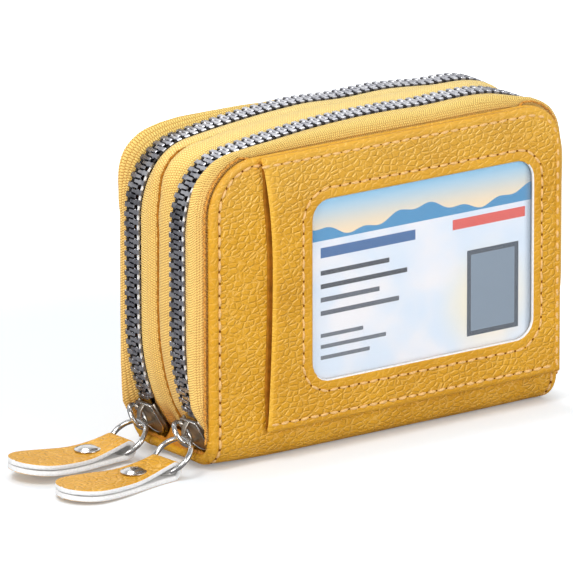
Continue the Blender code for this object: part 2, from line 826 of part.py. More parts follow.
def slider_crown(name, base, groups):
    """The strap over the slider that holds the link ring, as a bent bar with both feet in the plate."""
    half = CROWN_LENGTH / 2
    inner = half - CROWN_STRAP
    rise = base + CROWN_RISE
    slope = CROWN_RISE * 0.3
    outer = ((-half, base - SLIDER_PLATE / 2), (-half, rise - slope), (-half + slope, rise))
    outline = [*outer, *[(-u, w) for u, w in reversed(outer)]]
    low = rise - CROWN_STRAP
    hollow = ((inner, base - SLIDER_PLATE / 2), (inner, low - slope), (inner - slope, low))
    outline += [*hollow, *[(-u, w) for u, w in reversed(hollow)]]
    strap = plate(name, outline, 0.0, CROWN_WIDTH, groups, "nickel", CUTTERS)
    turn = Matrix(((0, 0, 1, 0), (1, 0, 0, 0), (0, 1, 0, 0), (0, 0, 0, 1)))
    strap.matrix_world = Matrix.Translation((0.0, CROWN_STEP, 0.0)) @ turn
    return strap


def slider(zone, side, groups):
    """A slider: upper plate with lips, lower plate, the post between them and the crown on top."""
    name = zone + "_slider"
    middle, turn = slider_frame(side)
    plate_low = HALF_TOOTH + SLIDER_PLAY
    plate_high = plate_low + SLIDER_PLATE
    lip_low = plate_low - SLIDER_LIP
    flat = Matrix.Rotation(-math.pi / 2, 4, "X")
    body = plate(name, slider_outline(), 0.0, plate_high - lip_low, groups, "nickel")
    body.data.transform(Matrix.Translation((0.0, 0.0, (plate_high + lip_low) / 2)))
    body.matrix_world = Matrix.Identity(4)
    half = SLIDER_LENGTH / 2
    inside = SLIDER_MOUTH - SLIDER_WALL + GAP
    channel = box(
        name + "_channel",
        (-inside, -half - CUT_OVERRUN, lip_low - CUT_OVERRUN),
        (inside, half + CUT_OVERRUN, plate_low),
        groups,
        "nickel",
        CUTTERS,
    )
    lower = box(
        name + "_lower",
        (-inside, -half + SLIDER_WALL, -plate_high),
        (inside, half - GAP, -plate_low),
        groups,
        "nickel",
        CUTTERS,
    )
    post = box(
        name + "_post",
        (-POST_WIDTH / 2, -half + SLIDER_WALL + GAP, -plate_low - SLIDER_PLATE / 2),
        (POST_WIDTH / 2, -half + SLIDER_WALL + GAP + POST_LENGTH, plate_low + SLIDER_PLATE / 2),
        groups,
        "nickel",
        CUTTERS,
    )
    crown = slider_crown(name + "_crown", plate_high, groups)
    cut(body, channel)
    for piece in (post, lower, crown):
        cut(body, piece, "UNION")
    place_at = Matrix.Translation(middle) @ turn
    for piece in (body, channel, lower, post, crown):
        piece.matrix_world = place_at @ piece.matrix_world
    centre = (-CHAIN_SIDE_X + RUN_RADIUS, side * CHAIN_Y, RUN_TOP)
    hang(body, empty(name + "_run_centre", groups, centre))
    return body


def wire_ring(name, radius, wire, centre, normal, groups):
    bpy.ops.mesh.primitive_torus_add(
        major_radius=radius, minor_radius=wire / 2, major_segments=RING_STEPS, minor_segments=WIRE_STEPS
    )
    made = bpy.context.object
    mesh = made.data
    mesh.name = name
    bpy.data.objects.remove(made, do_unlink=True)
    mesh.shade_smooth()
    ring = place(mesh, name, groups, "nickel")
    turn = Vector((0.0, 0.0, 1.0)).rotation_difference(normal).to_matrix().to_4x4()
    ring.matrix_world = Matrix.Translation(centre) @ turn
    return ring


def pull_top(side):
    """Where the pull ring hangs in the link ring."""
    middle, _ = slider_frame(side)
    return middle + PULL_TOP_OFFSET


def link_ring(zone, side, groups):
    """The small ring under the slider's crown, and the point in it on which it turns."""
    outward = LINK_OUTWARD.normalized()
    tangent = (LINK_TANGENT - outward * LINK_TANGENT.dot(outward)).normalized()
    centre = pull_top(side) + LINK_OFFSET
    ring = wire_ring(zone + "_link_ring", LINK_RADIUS, LINK_WIRE, centre, outward.cross(tangent), groups)
    hang(ring, empty(zone + "_link_pivot", groups, centre - outward * LINK_RADIUS))
    return ring


def tab_sections():
    """The folded strip of a pull tab, as cross sections from the upper tip round the fold to the lower tip.

    Local origin: the middle of the fold's hollow. The tab runs to -X, and lies on the floor under it.
    """
    low = -TAB_CAVITY - TAB_LEATHER / 2
    high = -low
    shut = low + TAB_LEATHER + GAP
    fold_end = TAB_CAVITY + TAB_LEATHER
    straight = TAB_LENGTH - fold_end
    upper = []
    lower = []
    reach_shares = (0.0, 0.08, 0.16, 0.24, 0.34, 0.5, 0.64, 0.74, 0.84, 0.92, 0.97, 1.0)
    for share in reach_shares:
        x = -straight * share
        drop = ease(-x / TAB_CLOSES)
        upper.append((x, high + (shut - high) * drop))
        lower.append((x, low))
    loop = []
    for step in range(1, LOOP_STEPS):
        angle = math.pi * (0.5 - step / LOOP_STEPS)
        loop.append((high * math.cos(angle), high * math.sin(angle)))
    line = [*reversed(upper), *loop, *lower]
    sections = []
    for x, z in line:
        half = tab_half_width(x, straight)
        sections.append([(x, -half, z), (x, 0.0, z), (x, half, z)])
    return sections


def tab_half_width(x, straight):
    """Half the width of the tab: a neck at the fold, wider towards the tip, and a round tip."""
    width = TAB_NECK + (TAB_TIP - TAB_NECK) * ease(-x / TAB_WIDENS)
    into_tip = TAB_TIP - (straight + x)
    if into_tip <= 0:
        return width
    round_share = 0.12
    return width * max(math.sqrt(max(1 - (into_tip / TAB_TIP) ** 2, 0.0)), round_share)


def pull_frame(zone, side):
    """Place of the fold's hollow, on the floor side of the pull ring, with the pull's own turn about Z."""
    yaw = Matrix.Rotation(PULL_YAW[zone], 4, "Z")
    top = pull_top(side)
    neck_reach = PULL_RADIUS + math.sqrt(PULL_RADIUS**2 - TAB_NECK**2)
    lean = math.asin((top.z - TAB_LEATHER - TAB_CAVITY - PULL_LIFT) / neck_reach)
    down = yaw @ Vector((-math.cos(lean), 0.0, -math.sin(lean)))
    seat = top + down * neck_reach + yaw @ Vector((-TAB_FORWARD, 0.0, 0.0))
    seat.z = TAB_LEATHER + TAB_CAVITY
    return seat, yaw, down


def pull_ring(zone, side, groups):
    seat, yaw, down = pull_frame(zone, side)
    top = pull_top(side)
    normal = (yaw @ Vector((0.0, 1.0, 0.0))).cross(down)
    ring = wire_ring(zone + "_pull_ring", PULL_RADIUS, PULL_WIRE, top + down * PULL_RADIUS, normal, groups)
    hang(ring, empty(zone + "_pull_ring_pivot", groups, top, yaw))
    return ring


def rivet_profile(head_z, back_z):
    return (
        (0.0, head_z + RIVET_HEAD_RISE),
        (RIVET_HEAD * 0.45, head_z + RIVET_HEAD_RISE * 0.9),
        (RIVET_HEAD * 0.8, head_z + RIVET_HEAD_RISE * 0.6),
        (RIVET_HEAD, head_z + RIVET_HEAD_RISE * 0.2),
        (RIVET_HEAD, head_z),
        (RIVET_POST, head_z),
        (RIVET_POST, back_z + RIVET_BACK_THICKNESS),
        (RIVET_BACK, back_z + RIVET_BACK_THICKNESS),
        (RIVET_BACK, back_z),
        (0.0, back_z),
    )


def pull_tab(zone, side, groups):
    """The leather tab folded round the pull ring, and the rivet that closes it."""
    seat, yaw, _ = pull_frame(zone, side)
    spot = Matrix.Translation(seat) @ yaw
    name = zone + "_pull_tab"
    tab = thicken(place(loft(name, tab_sections(), closed=False), name, groups, "leather"), TAB_LEATHER)
    tab.matrix_world = spot
    rivet_x = TAB_CAVITY + TAB_LEATHER - RIVET_SETBACK
    floor = -TAB_LEATHER - TAB_CAVITY
    top = floor + 2 * TAB_LEATHER + GAP
    back = floor + GAP / 3
    hole_profile = (
        (0.0, top + CUT_OVERRUN),
        (RIVET_POST + GAP, top + CUT_OVERRUN),
        (RIVET_POST + GAP, back + RIVET_BACK_THICKNESS + GAP / 3),
        (RIVET_BACK + GAP, back + RIVET_BACK_THICKNESS + GAP / 3),
        (RIVET_BACK + GAP, floor - CUT_OVERRUN),
        (0.0, floor - CUT_OVERRUN),
    )
    hole = turned(zone + "_rivet_hole", hole_profile, groups, "nickel", CUTTERS)
    hole.matrix_world = spot @ Matrix.Translation((rivet_x, 0.0, 0.0))
    cut(tab, hole)
    rivet = turned(zone + "_rivet", rivet_profile(top + GAP / 3, back), groups, "nickel")
    rivet.matrix_world = spot @ Matrix.Translation((rivet_x, 0.0, 0.0))
    axis = empty(zone + "_tab_pivot", groups, seat, yaw)
    hang(tab, axis)
    hang(rivet, axis)
    return [tab, rivet]


def cover_axis(zone, side, groups):
    return empty(zone + "_cover_hinge", groups, (0.0, side * CHAIN_Y, 0.0))


def front_side(groups):
    """Everything that swings with the front cover."""
    pieces, card = identity_pocket(groups)
    pieces += [cover("front_cover", -1, groups), *cover_backing("front", -1, groups), outer_tape("front", -1, groups)]
    pieces.append(teeth_row("front_outer_teeth", -1, 1, 0.0, groups))
    axis = cover_axis("front", -1, groups)
    for piece in (*pieces, card):
        hang(piece, axis)


def rear_side(groups):
    """Everything that swings with the back cover."""
    pieces = [cover("back_cover", 1, groups), *cover_backing("back", 1, groups), outer_tape("rear", 1, groups)]
    pieces.append(teeth_row("rear_outer_teeth", 1, -1, 0.0, groups))
    axis = cover_axis("back", 1, groups)
    for piece in pieces:
        hang(piece, axis)


def core(groups):
    """What stays with the bottom and the divider."""
    spine(groups)
    middle_divider(groups)
    slip_pocket(groups)
    partitions(groups)
    gussets(groups)
    for zone, side in (("front", -1), ("rear", 1)):
        inner_tape(zone, side, groups)
        teeth_row(zone + "_inner_teeth", side, side, TOOTH_PITCH / 2, groups)
        bottom_stop(zone, side, groups)


def pulls(groups):
    for zone, side in (("front", -1), ("rear", 1)):
        slider(zone, side, groups)
        link_ring(zone, side, groups)
        pull_ring(zone, side, groups)
        pull_tab(zone, side, groups)


def main():
    clear_scene()
    groups = make_collections()
    core(groups)
    front_side(groups)
    rear_side(groups)
    pulls(groups)
    bpy.context.view_layer.update()


main()
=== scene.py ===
"""Looks of the card wallet: leather, zips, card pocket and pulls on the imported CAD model.

Shapes are in millimetres here, and become metres where a mesh is made. Lengths inside materials, and the
places of lights and camera, are in metres.
"""

import math

import bmesh
import bpy
from mathutils import Matrix, Vector


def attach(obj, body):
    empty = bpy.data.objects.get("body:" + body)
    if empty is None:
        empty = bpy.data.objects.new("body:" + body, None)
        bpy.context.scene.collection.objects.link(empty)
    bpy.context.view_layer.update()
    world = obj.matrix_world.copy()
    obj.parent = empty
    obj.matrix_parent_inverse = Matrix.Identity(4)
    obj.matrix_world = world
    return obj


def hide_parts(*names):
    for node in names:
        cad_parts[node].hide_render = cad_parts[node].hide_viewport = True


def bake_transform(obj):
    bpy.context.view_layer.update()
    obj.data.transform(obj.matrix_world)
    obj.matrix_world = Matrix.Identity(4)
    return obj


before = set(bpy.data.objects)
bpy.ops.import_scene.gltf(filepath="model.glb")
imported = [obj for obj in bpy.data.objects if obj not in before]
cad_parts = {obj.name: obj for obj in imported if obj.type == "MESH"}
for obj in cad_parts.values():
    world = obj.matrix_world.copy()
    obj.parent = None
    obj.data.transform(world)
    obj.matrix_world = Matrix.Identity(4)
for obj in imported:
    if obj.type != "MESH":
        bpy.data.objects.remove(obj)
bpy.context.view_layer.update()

MM = 0.001

# The same places as in the CAD source
COVER_HALF, COVER_TOP, COVER_CORNER = 53.4, 77.8, 13.6
FACE_Y, LEATHER = 17.05, 1.6
FOLD_RADIUS, FOLD_END_TAPER, HINGE_Y = 7.0, 0.6, 9.6
CHAIN_Y, CHAIN_SIDE, CHAIN_TOP = 9.3, 58.2, 82.5
RUN_RADIUS, RUN_TOP, SHOULDER_Z = 52.0, 33.8, 60.0
BROW_X, BROW_Z, CORNER_HANDLE = 44.0, 78.8, 9.5
CHAIN_FOOT, TAPE_FOOT, TAPE_Y = 12.7, 6.2, 14.8
TOOTH_PITCH, TOOTH_LENGTH, HALF_TOOTH, CHAIN_HALF_WIDTH = 2.5, 0.95, 1.1, 2.9
PANEL_FACE, PANEL_BACK, PANEL_SKIN = 19.11, 17.2, 0.68
PANEL_LEFT, PANEL_WAIST_Z, PANEL_FOOT = 35.8, 50.0, 8.2
PANEL_BOW_TOP, PANEL_BOW_FOOT = 3.2, 1.6
WINDOW = (-24.1, 43.8, 18.8, 64.68, 5.0)  # left, right, foot, top, corner radius
SLIDER_Z, SLIDER_LENGTH = 8.8, 9.2
PULL_TOP_OFFSET, LINK_OFFSET = Vector((-6.4, -2.1, -0.68)), Vector((0.14, 1.2, 0.99))
PULL_YAW = {"front": math.radians(3.5), "rear": math.radians(1)}
PULL_RADIUS, PULL_WIRE, LINK_RADIUS, LINK_WIRE = 5.4, 0.68, 3.15, 0.64
TAB_LEATHER, TAB_CAVITY, TAB_LENGTH, TAB_NECK, TAB_TIP = 1.3, 1.25, 34.0, 4.2, 7.7
TAB_CLOSES, TAB_WIDENS, TAB_GAP, RIVET_FROM_FOLD = 13.0, 24.0, 0.3, 11.8
LINING_Y, CLOTH, DIVIDER, SLIP_Y = 13.85, 0.6, 1.6, 1.4
PARTITION_FIRST_Y, PARTITION_LAST_Y, PARTITION, PARTITIONS = 2.1, 13.25, 0.7, 5
GUSSET_FROM_Y, GUSSET_DEPTH, GUSSET_X, GUSSET_FOLD = 2.35, 10.65, 43.75, 2.2
GUSSET_FOOT, GUSSET_TOP, GUSSET_FOLDS = 3.6, 58.0, {"front": 12, "rear": 4}
PLATE_IN, PLATE_OUT, FLANGE_HEIGHT, POST_REACH = 1.4, 2.2, 1.05, 1.8
PULL_SEAT = 0.416
CARD_HALF, CARD_FOOT, PARTITION_TOP, SLIP_TOP, CARD_CORNER = 43.2, 2.4, 64.0, 46.0, 3.18

# Only in the dressed shape
STITCH_PITCH, STITCH_INSET, NEAR_STITCH_INSET, WINDOW_STITCH_GROWTH = 3.0, 2.8, 1.9, 2.75
LEFT_LIFT, RIGHT_LIFT, LIFT_FROM, LIFT_TOP = 1.25, 0.25, 28.0, 34.0
SEAM_Y, FILM_Y, MOUTH_Y, STRIP_TOP = 15.62, 18.31, 17.16, 19.0
BEAD_RADIUS, BEAD_RISE, BEAD_INSET = 0.36, 0.45, 0.66
TAB_RAISE = {"front": 1.1, "rear": 2.1}
TAB_LIFT = {"front": 0.0, "rear": 0.9}
BOTH_SIDES = (("front", "front_cover", -1), ("rear", "back_cover", 1))
BOTH_ENDS = (("left", -1), ("right", 1))

# ---------------------------------------------------------------- node helpers


class Tree:
    """Short ways to add nodes to a tree. Inputs are numbers, colours, sockets or nodes."""

    def __init__(self, tree):
        self.tree = tree

    def set(self, node, inputs):
        """Fills inputs, given in order or by name."""
        for key, value in inputs.items() if isinstance(inputs, dict) else enumerate(inputs):
            socket = node.inputs[key]
            if isinstance(value, bpy.types.Node):
                value = value.outputs[0]
            if isinstance(value, bpy.types.NodeSocket):
                self.tree.links.new(value, socket)
            elif socket.type == "RGBA":
                socket.default_value = (*value, 1.0)
            else:
                socket.default_value = value

    def add(self, kind, inputs=(), **settings):
        node = self.tree.nodes.new("ShaderNode" + kind)
        for name, value in settings.items():
            setattr(node, name, value)
        self.set(node, inputs)
        return node

    def math(self, operation, *values):
        return self.add("Math", values, operation=operation).outputs[0]

    def times(self, one, other):
        return self.math("MULTIPLY", one, other)

    def times_add(self, one, other, more):
        return self.math("MULTIPLY_ADD", one, other, more)

    def wave(self, value):
        """Rounded ridges: one for each multiple of pi."""
        return self.math("ABSOLUTE", self.math("SINE", value))

    def range(self, value, low, high, to_low=0.0, to_high=1.0):
        inputs = {"Value": value, "From Min": low, "From Max": high, "To Min": to_low, "To Max": to_high}
        return self.add("MapRange", inputs, interpolation_type="SMOOTHSTEP").outputs["Result"]

    def mix(self, factor, one, other):
        """A colour mix. The ends are colours or sockets."""
        return self.add("Mix", {0: factor, 6: one, 7: other}, data_type="RGBA").outputs[2]

    def noise(self, vector, scale, detail=2.0, roughness=0.5, output="Fac"):
        inputs = {"Vector": vector, "Scale": scale, "Detail": detail, "Roughness": roughness}
        return self.add("TexNoise", inputs).outputs[output]

    def place(self):
        return self.add("TexCoord").outputs["Object"]

    def split(self, vector):
        return self.add("SeparateXYZ", [vector]).outputs

    def attribute(self, name):
        return self.add("Attribute", attribute_name=name).outputs["Fac"]

    def surface(self, inputs, height=None, distance=0.0, strength=1.0):
        """Fills the material's own shader, with a bump where a height is given."""
        if height is not None:
            bump = {"Strength": strength, "Distance": distance, "Height": height}
            inputs["Normal"] = self.add("Bump", bump)
        self.set(self.tree.nodes["Principled BSDF"], inputs)


def new_material(name, empty=False):
    material = bpy.data.materials.new(name)
    material.use_nodes = True
    if empty:
        material.node_tree.nodes.clear()
    return material, Tree(material.node_tree)


# ---------------------------------------------------------------- stage, lights and camera

# Name, place, height aimed at, size and power
SOFTBOXES = (
    ("key_softbox", (-0.55, -0.25, 0.75), 0.03, 0.35, 3.65),
    ("front_softbox", (0.25, -1.0, 0.45), 0.04, 0.7, 4.35),
    ("top_softbox", (0.05, 0.40, 0.85), 0.06, 0.35, 1.5),
    ("left_softbox", (-1.0, -0.15, 0.3), 0.04, 0.5, 2.35),
)
WHITE = (1.0, 1.0, 1.0)
AMBIENT = 0.54


def place_in_scene(name, data):
    thing = bpy.data.objects.new(name, data)
    bpy.context.scene.collection.objects.link(thing)
    return thing


def point_camera():
    """The camera of the photograph: a long lens, a little above the wallet and to its left."""
    data = bpy.data.cameras.new("camera")
    data.sensor_width = 36.0
    data.lens = 617.5
    camera = place_in_scene("camera", data)
    position = Vector((-1.3971, -1.8690, 0.69705))
    forward = Vector((0.5712, 0.7741, -0.2730)).normalized()
    right = forward.cross(Vector((0.1634, 0.2187, 0.9620))).normalized()
    turn = Matrix((right, right.cross(forward), -forward)).transposed().to_4x4()
    camera.matrix_world = Matrix.Translation(position) @ turn
    bpy.context.scene.camera = camera


def light_scene():
    for name, at, aim, size, power in SOFTBOXES:
        data = bpy.data.lights.new(name, "AREA")
        data.energy, data.shape, data.size = power, "DISK", size
        light = place_in_scene(name, data)
        light.location = at
        light.rotation_euler = (Vector((0.0, 0.0, aim)) - Vector(at)).to_track_quat("-Z", "Y").to_euler()
    world = bpy.data.worlds.new("studio")
    world.use_nodes = True
    world.node_tree.nodes.clear()
    tree = Tree(world.node_tree)
    path = tree.add("LightPath").outputs
    seen = tree.math("MAXIMUM", path["Is Camera Ray"], path["Is Transmission Ray"])
    way = tree.split(tree.add("TexCoord").outputs["Generated"])
    glossy = tree.times(tree.range(way[2], -0.02, 0.24, 0.10, 1.05), tree.range(way[2], 0.45, 0.8, 1.0, 0.45))
    glossy = tree.times(glossy, tree.range(way[0], -0.45, 0.20, 0.55, 1.0))
    level = tree.times_add(tree.math("SUBTRACT", glossy, AMBIENT), path["Is Glossy Ray"], AMBIENT)
    ambient = tree.add("Background", [(0.97, 0.98, 1.0), level])
    tree.add("OutputWorld", [tree.add("MixShader", [seen, ambient, tree.add("Background", [WHITE])])])
    bpy.context.scene.world = world
    bpy.context.scene.view_settings.view_transform = "Standard"


def lay_floor():
    """A floor that looks white, and still takes a soft shadow close to the wallet."""
    corners = [(-2500, -2500, 0), (2500, -2500, 0), (2500, 2500, 0), (-2500, 2500, 0)]
    floor = add_mesh("floor", corners, [(0, 1, 2, 3)])
    material, tree = new_material("white_floor", empty=True)
    path = tree.add("LightPath").outputs
    seen = tree.math("MAXIMUM", path["Is Camera Ray"], path["Is Transmission Ray"])
    # Paint tinted blue, which keeps the floor's shadow grey under the warm light thrown back from the
    # leather; in glossy rays it is dark, a painted dark reflection.
    paint_dark_in_reflection = tree.mix(path["Is Glossy Ray"], (0.765, 0.81, 0.85), (0.22, 0.22, 0.23))
    place = tree.place()
    away = tree.add("VectorMath", [place], operation="LENGTH").outputs["Value"]
    x, y, _ = tree.split(place)
    # Less glow close to the wallet, and a painted shadow band on the floor in front of it.
    painted_front_shadow = tree.times(tree.range(away, 0.12, 0.20, -0.13, 0.0), tree.range(y, -0.036, -0.024))
    share = tree.math("ADD", tree.range(away, 0.11, 0.40, 0.32, 0.85), painted_front_shadow)
    # Painted light: more glow right of the wallet clears its shadow there.
    share = tree.math("ADD", share, tree.range(x, 0.050, 0.062, 0.0, 0.34))
    glow = tree.add("Emission", [WHITE, tree.times(seen, share)])
    tree.add("OutputMaterial", [tree.add("AddShader", [tree.add("BsdfDiffuse", [paint_dark_in_reflection]), glow])])
    floor.data.materials.append(material)


# ---------------------------------------------------------------- materials


def grain_group():
    """Pebbled leather: rounded cells between narrow creases, with pores and slow mottling.

    Relief compares the cells with the same cells moved a little, and so tells lit sides from shaded ones.
    """
    group = bpy.data.node_groups.new("pebble_grain", "ShaderNodeTree")
    for name in ("Height", "Crease", "Mottle", "Relief"):
        group.interface.new_socket(name, in_out="OUTPUT", socket_type="NodeSocketFloat")
    tree = Tree(group)
    place = tree.place()
    turn = (0.0, math.radians(14), 0.0)
    stretched = tree.add("Mapping", {"Vector": place, "Rotation": turn, "Scale": (0.86, 1.0, 1.28)})
    warp = tree.noise(place, 330.0, output="Color")
    bent = tree.add("VectorMath", [warp, (0.0006, 0.0006, 0.0006), stretched], operation="MULTIPLY_ADD")
    moved = tree.add("VectorMath", [bent, (-0.00011, 0.0, 0.00019)], operation="ADD")
    edges = []
    for at, scale in ((bent, 560.0), (bent, 1300.0), (moved, 560.0)):
        inputs = {"Vector": at, "Scale": scale, "Randomness": 0.92}
        edges.append(tree.add("TexVoronoi", inputs, feature="DISTANCE_TO_EDGE").outputs["Distance"])
    widths = (0.21, 0.26, 0.21)
    cells, small, moved_cells = (tree.range(edge, 0.0, width) for edge, width in zip(edges, widths))
    line = tree.range(edges[0], 0.0, 0.075, 1.0, 0.0)
    broken = tree.range(tree.noise(place, 520.0), 0.40, 0.62)
    height = tree.times_add(tree.noise(place, 5200.0), 0.10, tree.times_add(small, 0.20, cells))
    outputs = {"Height": height, "Crease": tree.times(line, broken), "Mottle": tree.noise(place, 60.0, 3.0)}
    outputs["Relief"] = tree.math("SUBTRACT", cells, moved_cells)
    tree.set(group.nodes.new("NodeGroupOutput"), outputs)
    return group


def leather_material(name, light, dark, pale, grain, distance):
    """Leather with pebbles, which fade where the rim attribute says that the surface is pressed smooth."""
    material, tree = new_material(name)
    grained = tree.add("Group", node_tree=grain).outputs
    level = tree.times_add(tree.attribute("rim"), -0.55, 1.0)
    z = tree.split(tree.place())[2]
    colour = tree.mix(tree.range(grained["Mottle"], 0.3, 0.7), light, dark)
    # Painted shade on the pebbles' shaded sides, in a darker copy of the dark tone.
    shade = tree.range(grained["Relief"], -0.12, -0.65, 0.0, 0.42)
    colour = tree.mix(tree.times(shade, level), colour, tuple(0.55 * c for c in dark))
    # Painted glints on the pebbles' lit sides, stronger towards the top of the cover.
    glint = tree.range(grained["Relief"], 0.22, 0.75, 0.0, 0.60)
    glint = tree.times(glint, tree.range(z, 0.045, 0.070, 1.0, 1.5))
    colour = tree.mix(tree.times(glint, level), colour, pale)
    # Painted light: the upper part of the cover turns lighter and more yellow.
    colour = tree.mix(tree.range(z, 0.056, 0.078, 0.0, 0.08), colour, (1.0, 0.80, 0.30))
    # Painted highlights along the creases.
    lines = tree.times(grained["Crease"], level)
    colour = tree.mix(tree.times(lines, 0.35), colour, pale)
    colour = tree.mix(tree.times(tree.attribute("pale"), 0.5), colour, (0.88, 0.52, 0.07))
    rough = tree.times_add(lines, 0.15, 0.40)
    inputs = {"Base Color": colour, "Roughness": rough, "Specular IOR Level": 0.30}
    tree.surface(inputs, tree.times(grained["Height"], level), distance)
    return material


def weave_material(name, light, dark, top_light=None, top_dark=None):
    """Zip tape: ribs beside the teeth and a herringbone twill beyond them, from the strip's own UVs in mm.

    The top colours tint its upper parts, and the trough attribute the shaded parts beside the slider.
    """
    band, row_width, row_step, thread_pitch, rib_pitch = 1.7, 0.54, 0.38, 0.66, 0.60
    material, tree = new_material(name)
    along, across, _ = tree.split(tree.add("UVMap", uv_map="strip"))
    row = tree.math("DIVIDE", across, row_width)
    thread = tree.times_add(along, 1 / thread_pitch, tree.times(tree.math("FLOOR", row), row_step))
    knots = tree.wave(tree.times(thread, math.pi))
    lanes = tree.wave(tree.times(row, math.pi))
    twill = tree.times(knots, tree.times_add(lanes, 0.7, 0.3))
    ribs = tree.wave(tree.times(along, math.pi / rib_pitch))
    height = tree.times_add(tree.math("SUBTRACT", twill, ribs), tree.math("GREATER_THAN", across, band), ribs)
    place = tree.place()
    height = tree.times_add(tree.noise(place, 3800.0), 0.25, height)
    raised = tree.range(height, 0.10, 0.75)
    # Sunk threads take the dark colour: painted shade in the weave.
    colour = tree.mix(raised, dark, light)
    if top_light:
        # Painted light: the upper parts take the lighter top colours.
        top = tree.range(tree.split(place)[2], 0.069, 0.083)
        colour = tree.mix(top, colour, tree.mix(raised, top_dark, top_light))
        # Painted shade: the trough attribute turns the tape beside the slider darker orange-brown.
        trough_shade = tree.mix(raised, (0.42, 0.14, 0.010), (0.76, 0.33, 0.035))
        colour = tree.mix(tree.attribute("trough"), colour, trough_shade)
    # Painted dark reflection: seen in glossy rays the tape is near black.
    dark_in_reflection = tree.times(tree.add("LightPath").outputs["Is Glossy Ray"], 0.8)
    colour = tree.mix(dark_in_reflection, colour, (0.13, 0.11, 0.10))
    tree.surface({"Base Color": colour, "Roughness": 0.62, "Sheen Weight": 0.15}, height, 0.00016)
    return material


def cloth_material(name, light, dark):
    """Plain lining cloth with a fine weave."""
    material, tree = new_material(name)
    place = tree.place()
    x, _, z = tree.split(place)
    waves = [tree.math("SINE", tree.times(socket, 2 * math.pi / 0.0005)) for socket in (x, z)]
    height = tree.times_add(tree.times(*waves), 0.5, 0.5)
    colour = tree.mix(tree.range(tree.noise(place, 90.0, 3.0), 0.3, 0.7), light, dark)
    colour = tree.mix(tree.times(height, 0.25), colour, dark)
    tree.surface({"Base Color": colour, "Roughness": 0.7, "Sheen Weight": 0.2}, height, 0.00004)
    return material


def metal_material(name, colour, roughness, scuff, patch=None):
    """Plated metal with faint scuffs, and a second tint in patches."""
    material, tree = new_material(name)
    place = tree.place()
    worn = tree.range(tree.noise(place, 900.0, 4.0, 0.6), 0.3, 0.75, roughness, roughness + scuff)
    tint = tree.range(tree.noise(place, 420.0), 0.42, 0.62)
    shade = tree.mix(tint, colour, patch or tuple(0.86 * c for c in colour))
    tree.surface({"Base Color": shade, "Metallic": 1.0, "Roughness": worn})
    return material


def plain_material(name, colour, roughness, scale=700.0, spread=0.12, bump=0.00002, specular=0.4):
    """A quiet surface with slight variation: cut edges, thread and board."""
    material, tree = new_material(name)
    cloud = tree.noise(tree.place(), scale, 3.0)
    shade = tree.mix(tree.range(cloud, 0.3, 0.7), colour, tuple(c * (1 - spread) for c in colour))
    inputs = {"Base Color": shade, "Roughness": roughness, "Specular IOR Level": specular}
    tree.surface(inputs, cloud if bump else None, bump)
    return material


def film_material():
    """Clear flexible window: it passes light straight through and gives a thin gloss."""
    material, tree = new_material("clear_window")
    inputs = {"Base Color": (0.97, 0.985, 1.0), "Roughness": 0.07, "Alpha": 0.045}
    tree.surface(inputs, tree.noise(tree.place(), 70.0), 0.0004, 0.5)
    return material


# x from and to, z from and to, and colour
CARD_BOXES = (
    (19.5, 42.0, 50.0, 52.6, (0.74, 0.085, 0.060)),
    (-21.0, 8.0, 49.6, 52.2, (0.035, 0.13, 0.34)),
    (-21.0, 0.0, 45.2, 46.4, (0.045, 0.05, 0.065)),
    (-21.0, 5.5, 41.8, 43.0, (0.045, 0.05, 0.065)),
    (-21.0, -3.0, 38.4, 39.6, (0.10, 0.11, 0.135)),
    (-21.0, 3.0, 35.0, 36.2, (0.10, 0.11, 0.135)),
    (-21.0, -8.0, 29.4, 30.4, (0.13, 0.145, 0.17)),
    (-21.0, -1.0, 26.6, 27.6, (0.13, 0.145, 0.17)),
    (-21.0, -6.0, 23.8, 24.8, (0.13, 0.145, 0.17)),
    (24.0, 40.0, 22.0, 44.0, (0.055, 0.07, 0.095)),
    (25.2, 38.8, 23.2, 42.8, (0.20, 0.26, 0.33)),
)


def print_material():
    """The card's made-up face: pale blue, with a hilly band, bars, lines, a plain panel and a faint sun."""
    band_foot = 54.0
    material, tree = new_material("printed_card")
    place = tree.place()
    x, _, z = tree.split(place)
    x, z = tree.times(x, 1000.0), tree.times(z, 1000.0)
    cloud = tree.noise(place, 55.0, 3.0)
    colour = tree.mix(tree.range(cloud, 0.35, 0.65), (0.68, 0.76, 0.86), (0.86, 0.83, 0.84))
    sun = tree.add("VectorMath", [place, (0.030, -0.018, 0.031)], operation="DISTANCE").outputs["Value"]
    colour = tree.mix(tree.range(sun, 0.004, 0.017, 0.75, 0.0), colour, (0.93, 0.80, 0.52))
    hills, ripple = (tree.math("SINE", tree.times(x, turns)) for turns in (0.17, 0.61))
    ridge = tree.times_add(hills, 1.5, tree.times_add(ripple, 0.6, 56.6))
    band = tree.mix(tree.range(z, band_foot, 66.0), (0.92, 0.70, 0.44), (0.25, 0.58, 0.84))
    in_band = tree.math("GREATER_THAN", z, band_foot)
    colour = tree.mix(in_band, colour, band)
    colour = tree.mix(tree.times(tree.math("LESS_THAN", z, ridge), in_band), colour, (0.045, 0.27, 0.52))
    for left, right, foot, top, tint in CARD_BOXES:
        inside = tree.math("COMPARE", x, (left + right) / 2, (right - left) / 2)
        upright = tree.math("COMPARE", z, (foot + top) / 2, (top - foot) / 2)
        colour = tree.mix(tree.times(inside, upright), colour, tint)
    # Painted shade along the card's right end, under the window's edge.
    colour = tree.mix(tree.range(x, 41.4, 43.8, 0.0, 0.65), colour, (0.10, 0.16, 0.24))
    tree.surface({"Base Color": colour, "Roughness": 0.3}, cloud, 0.00002)
    return material


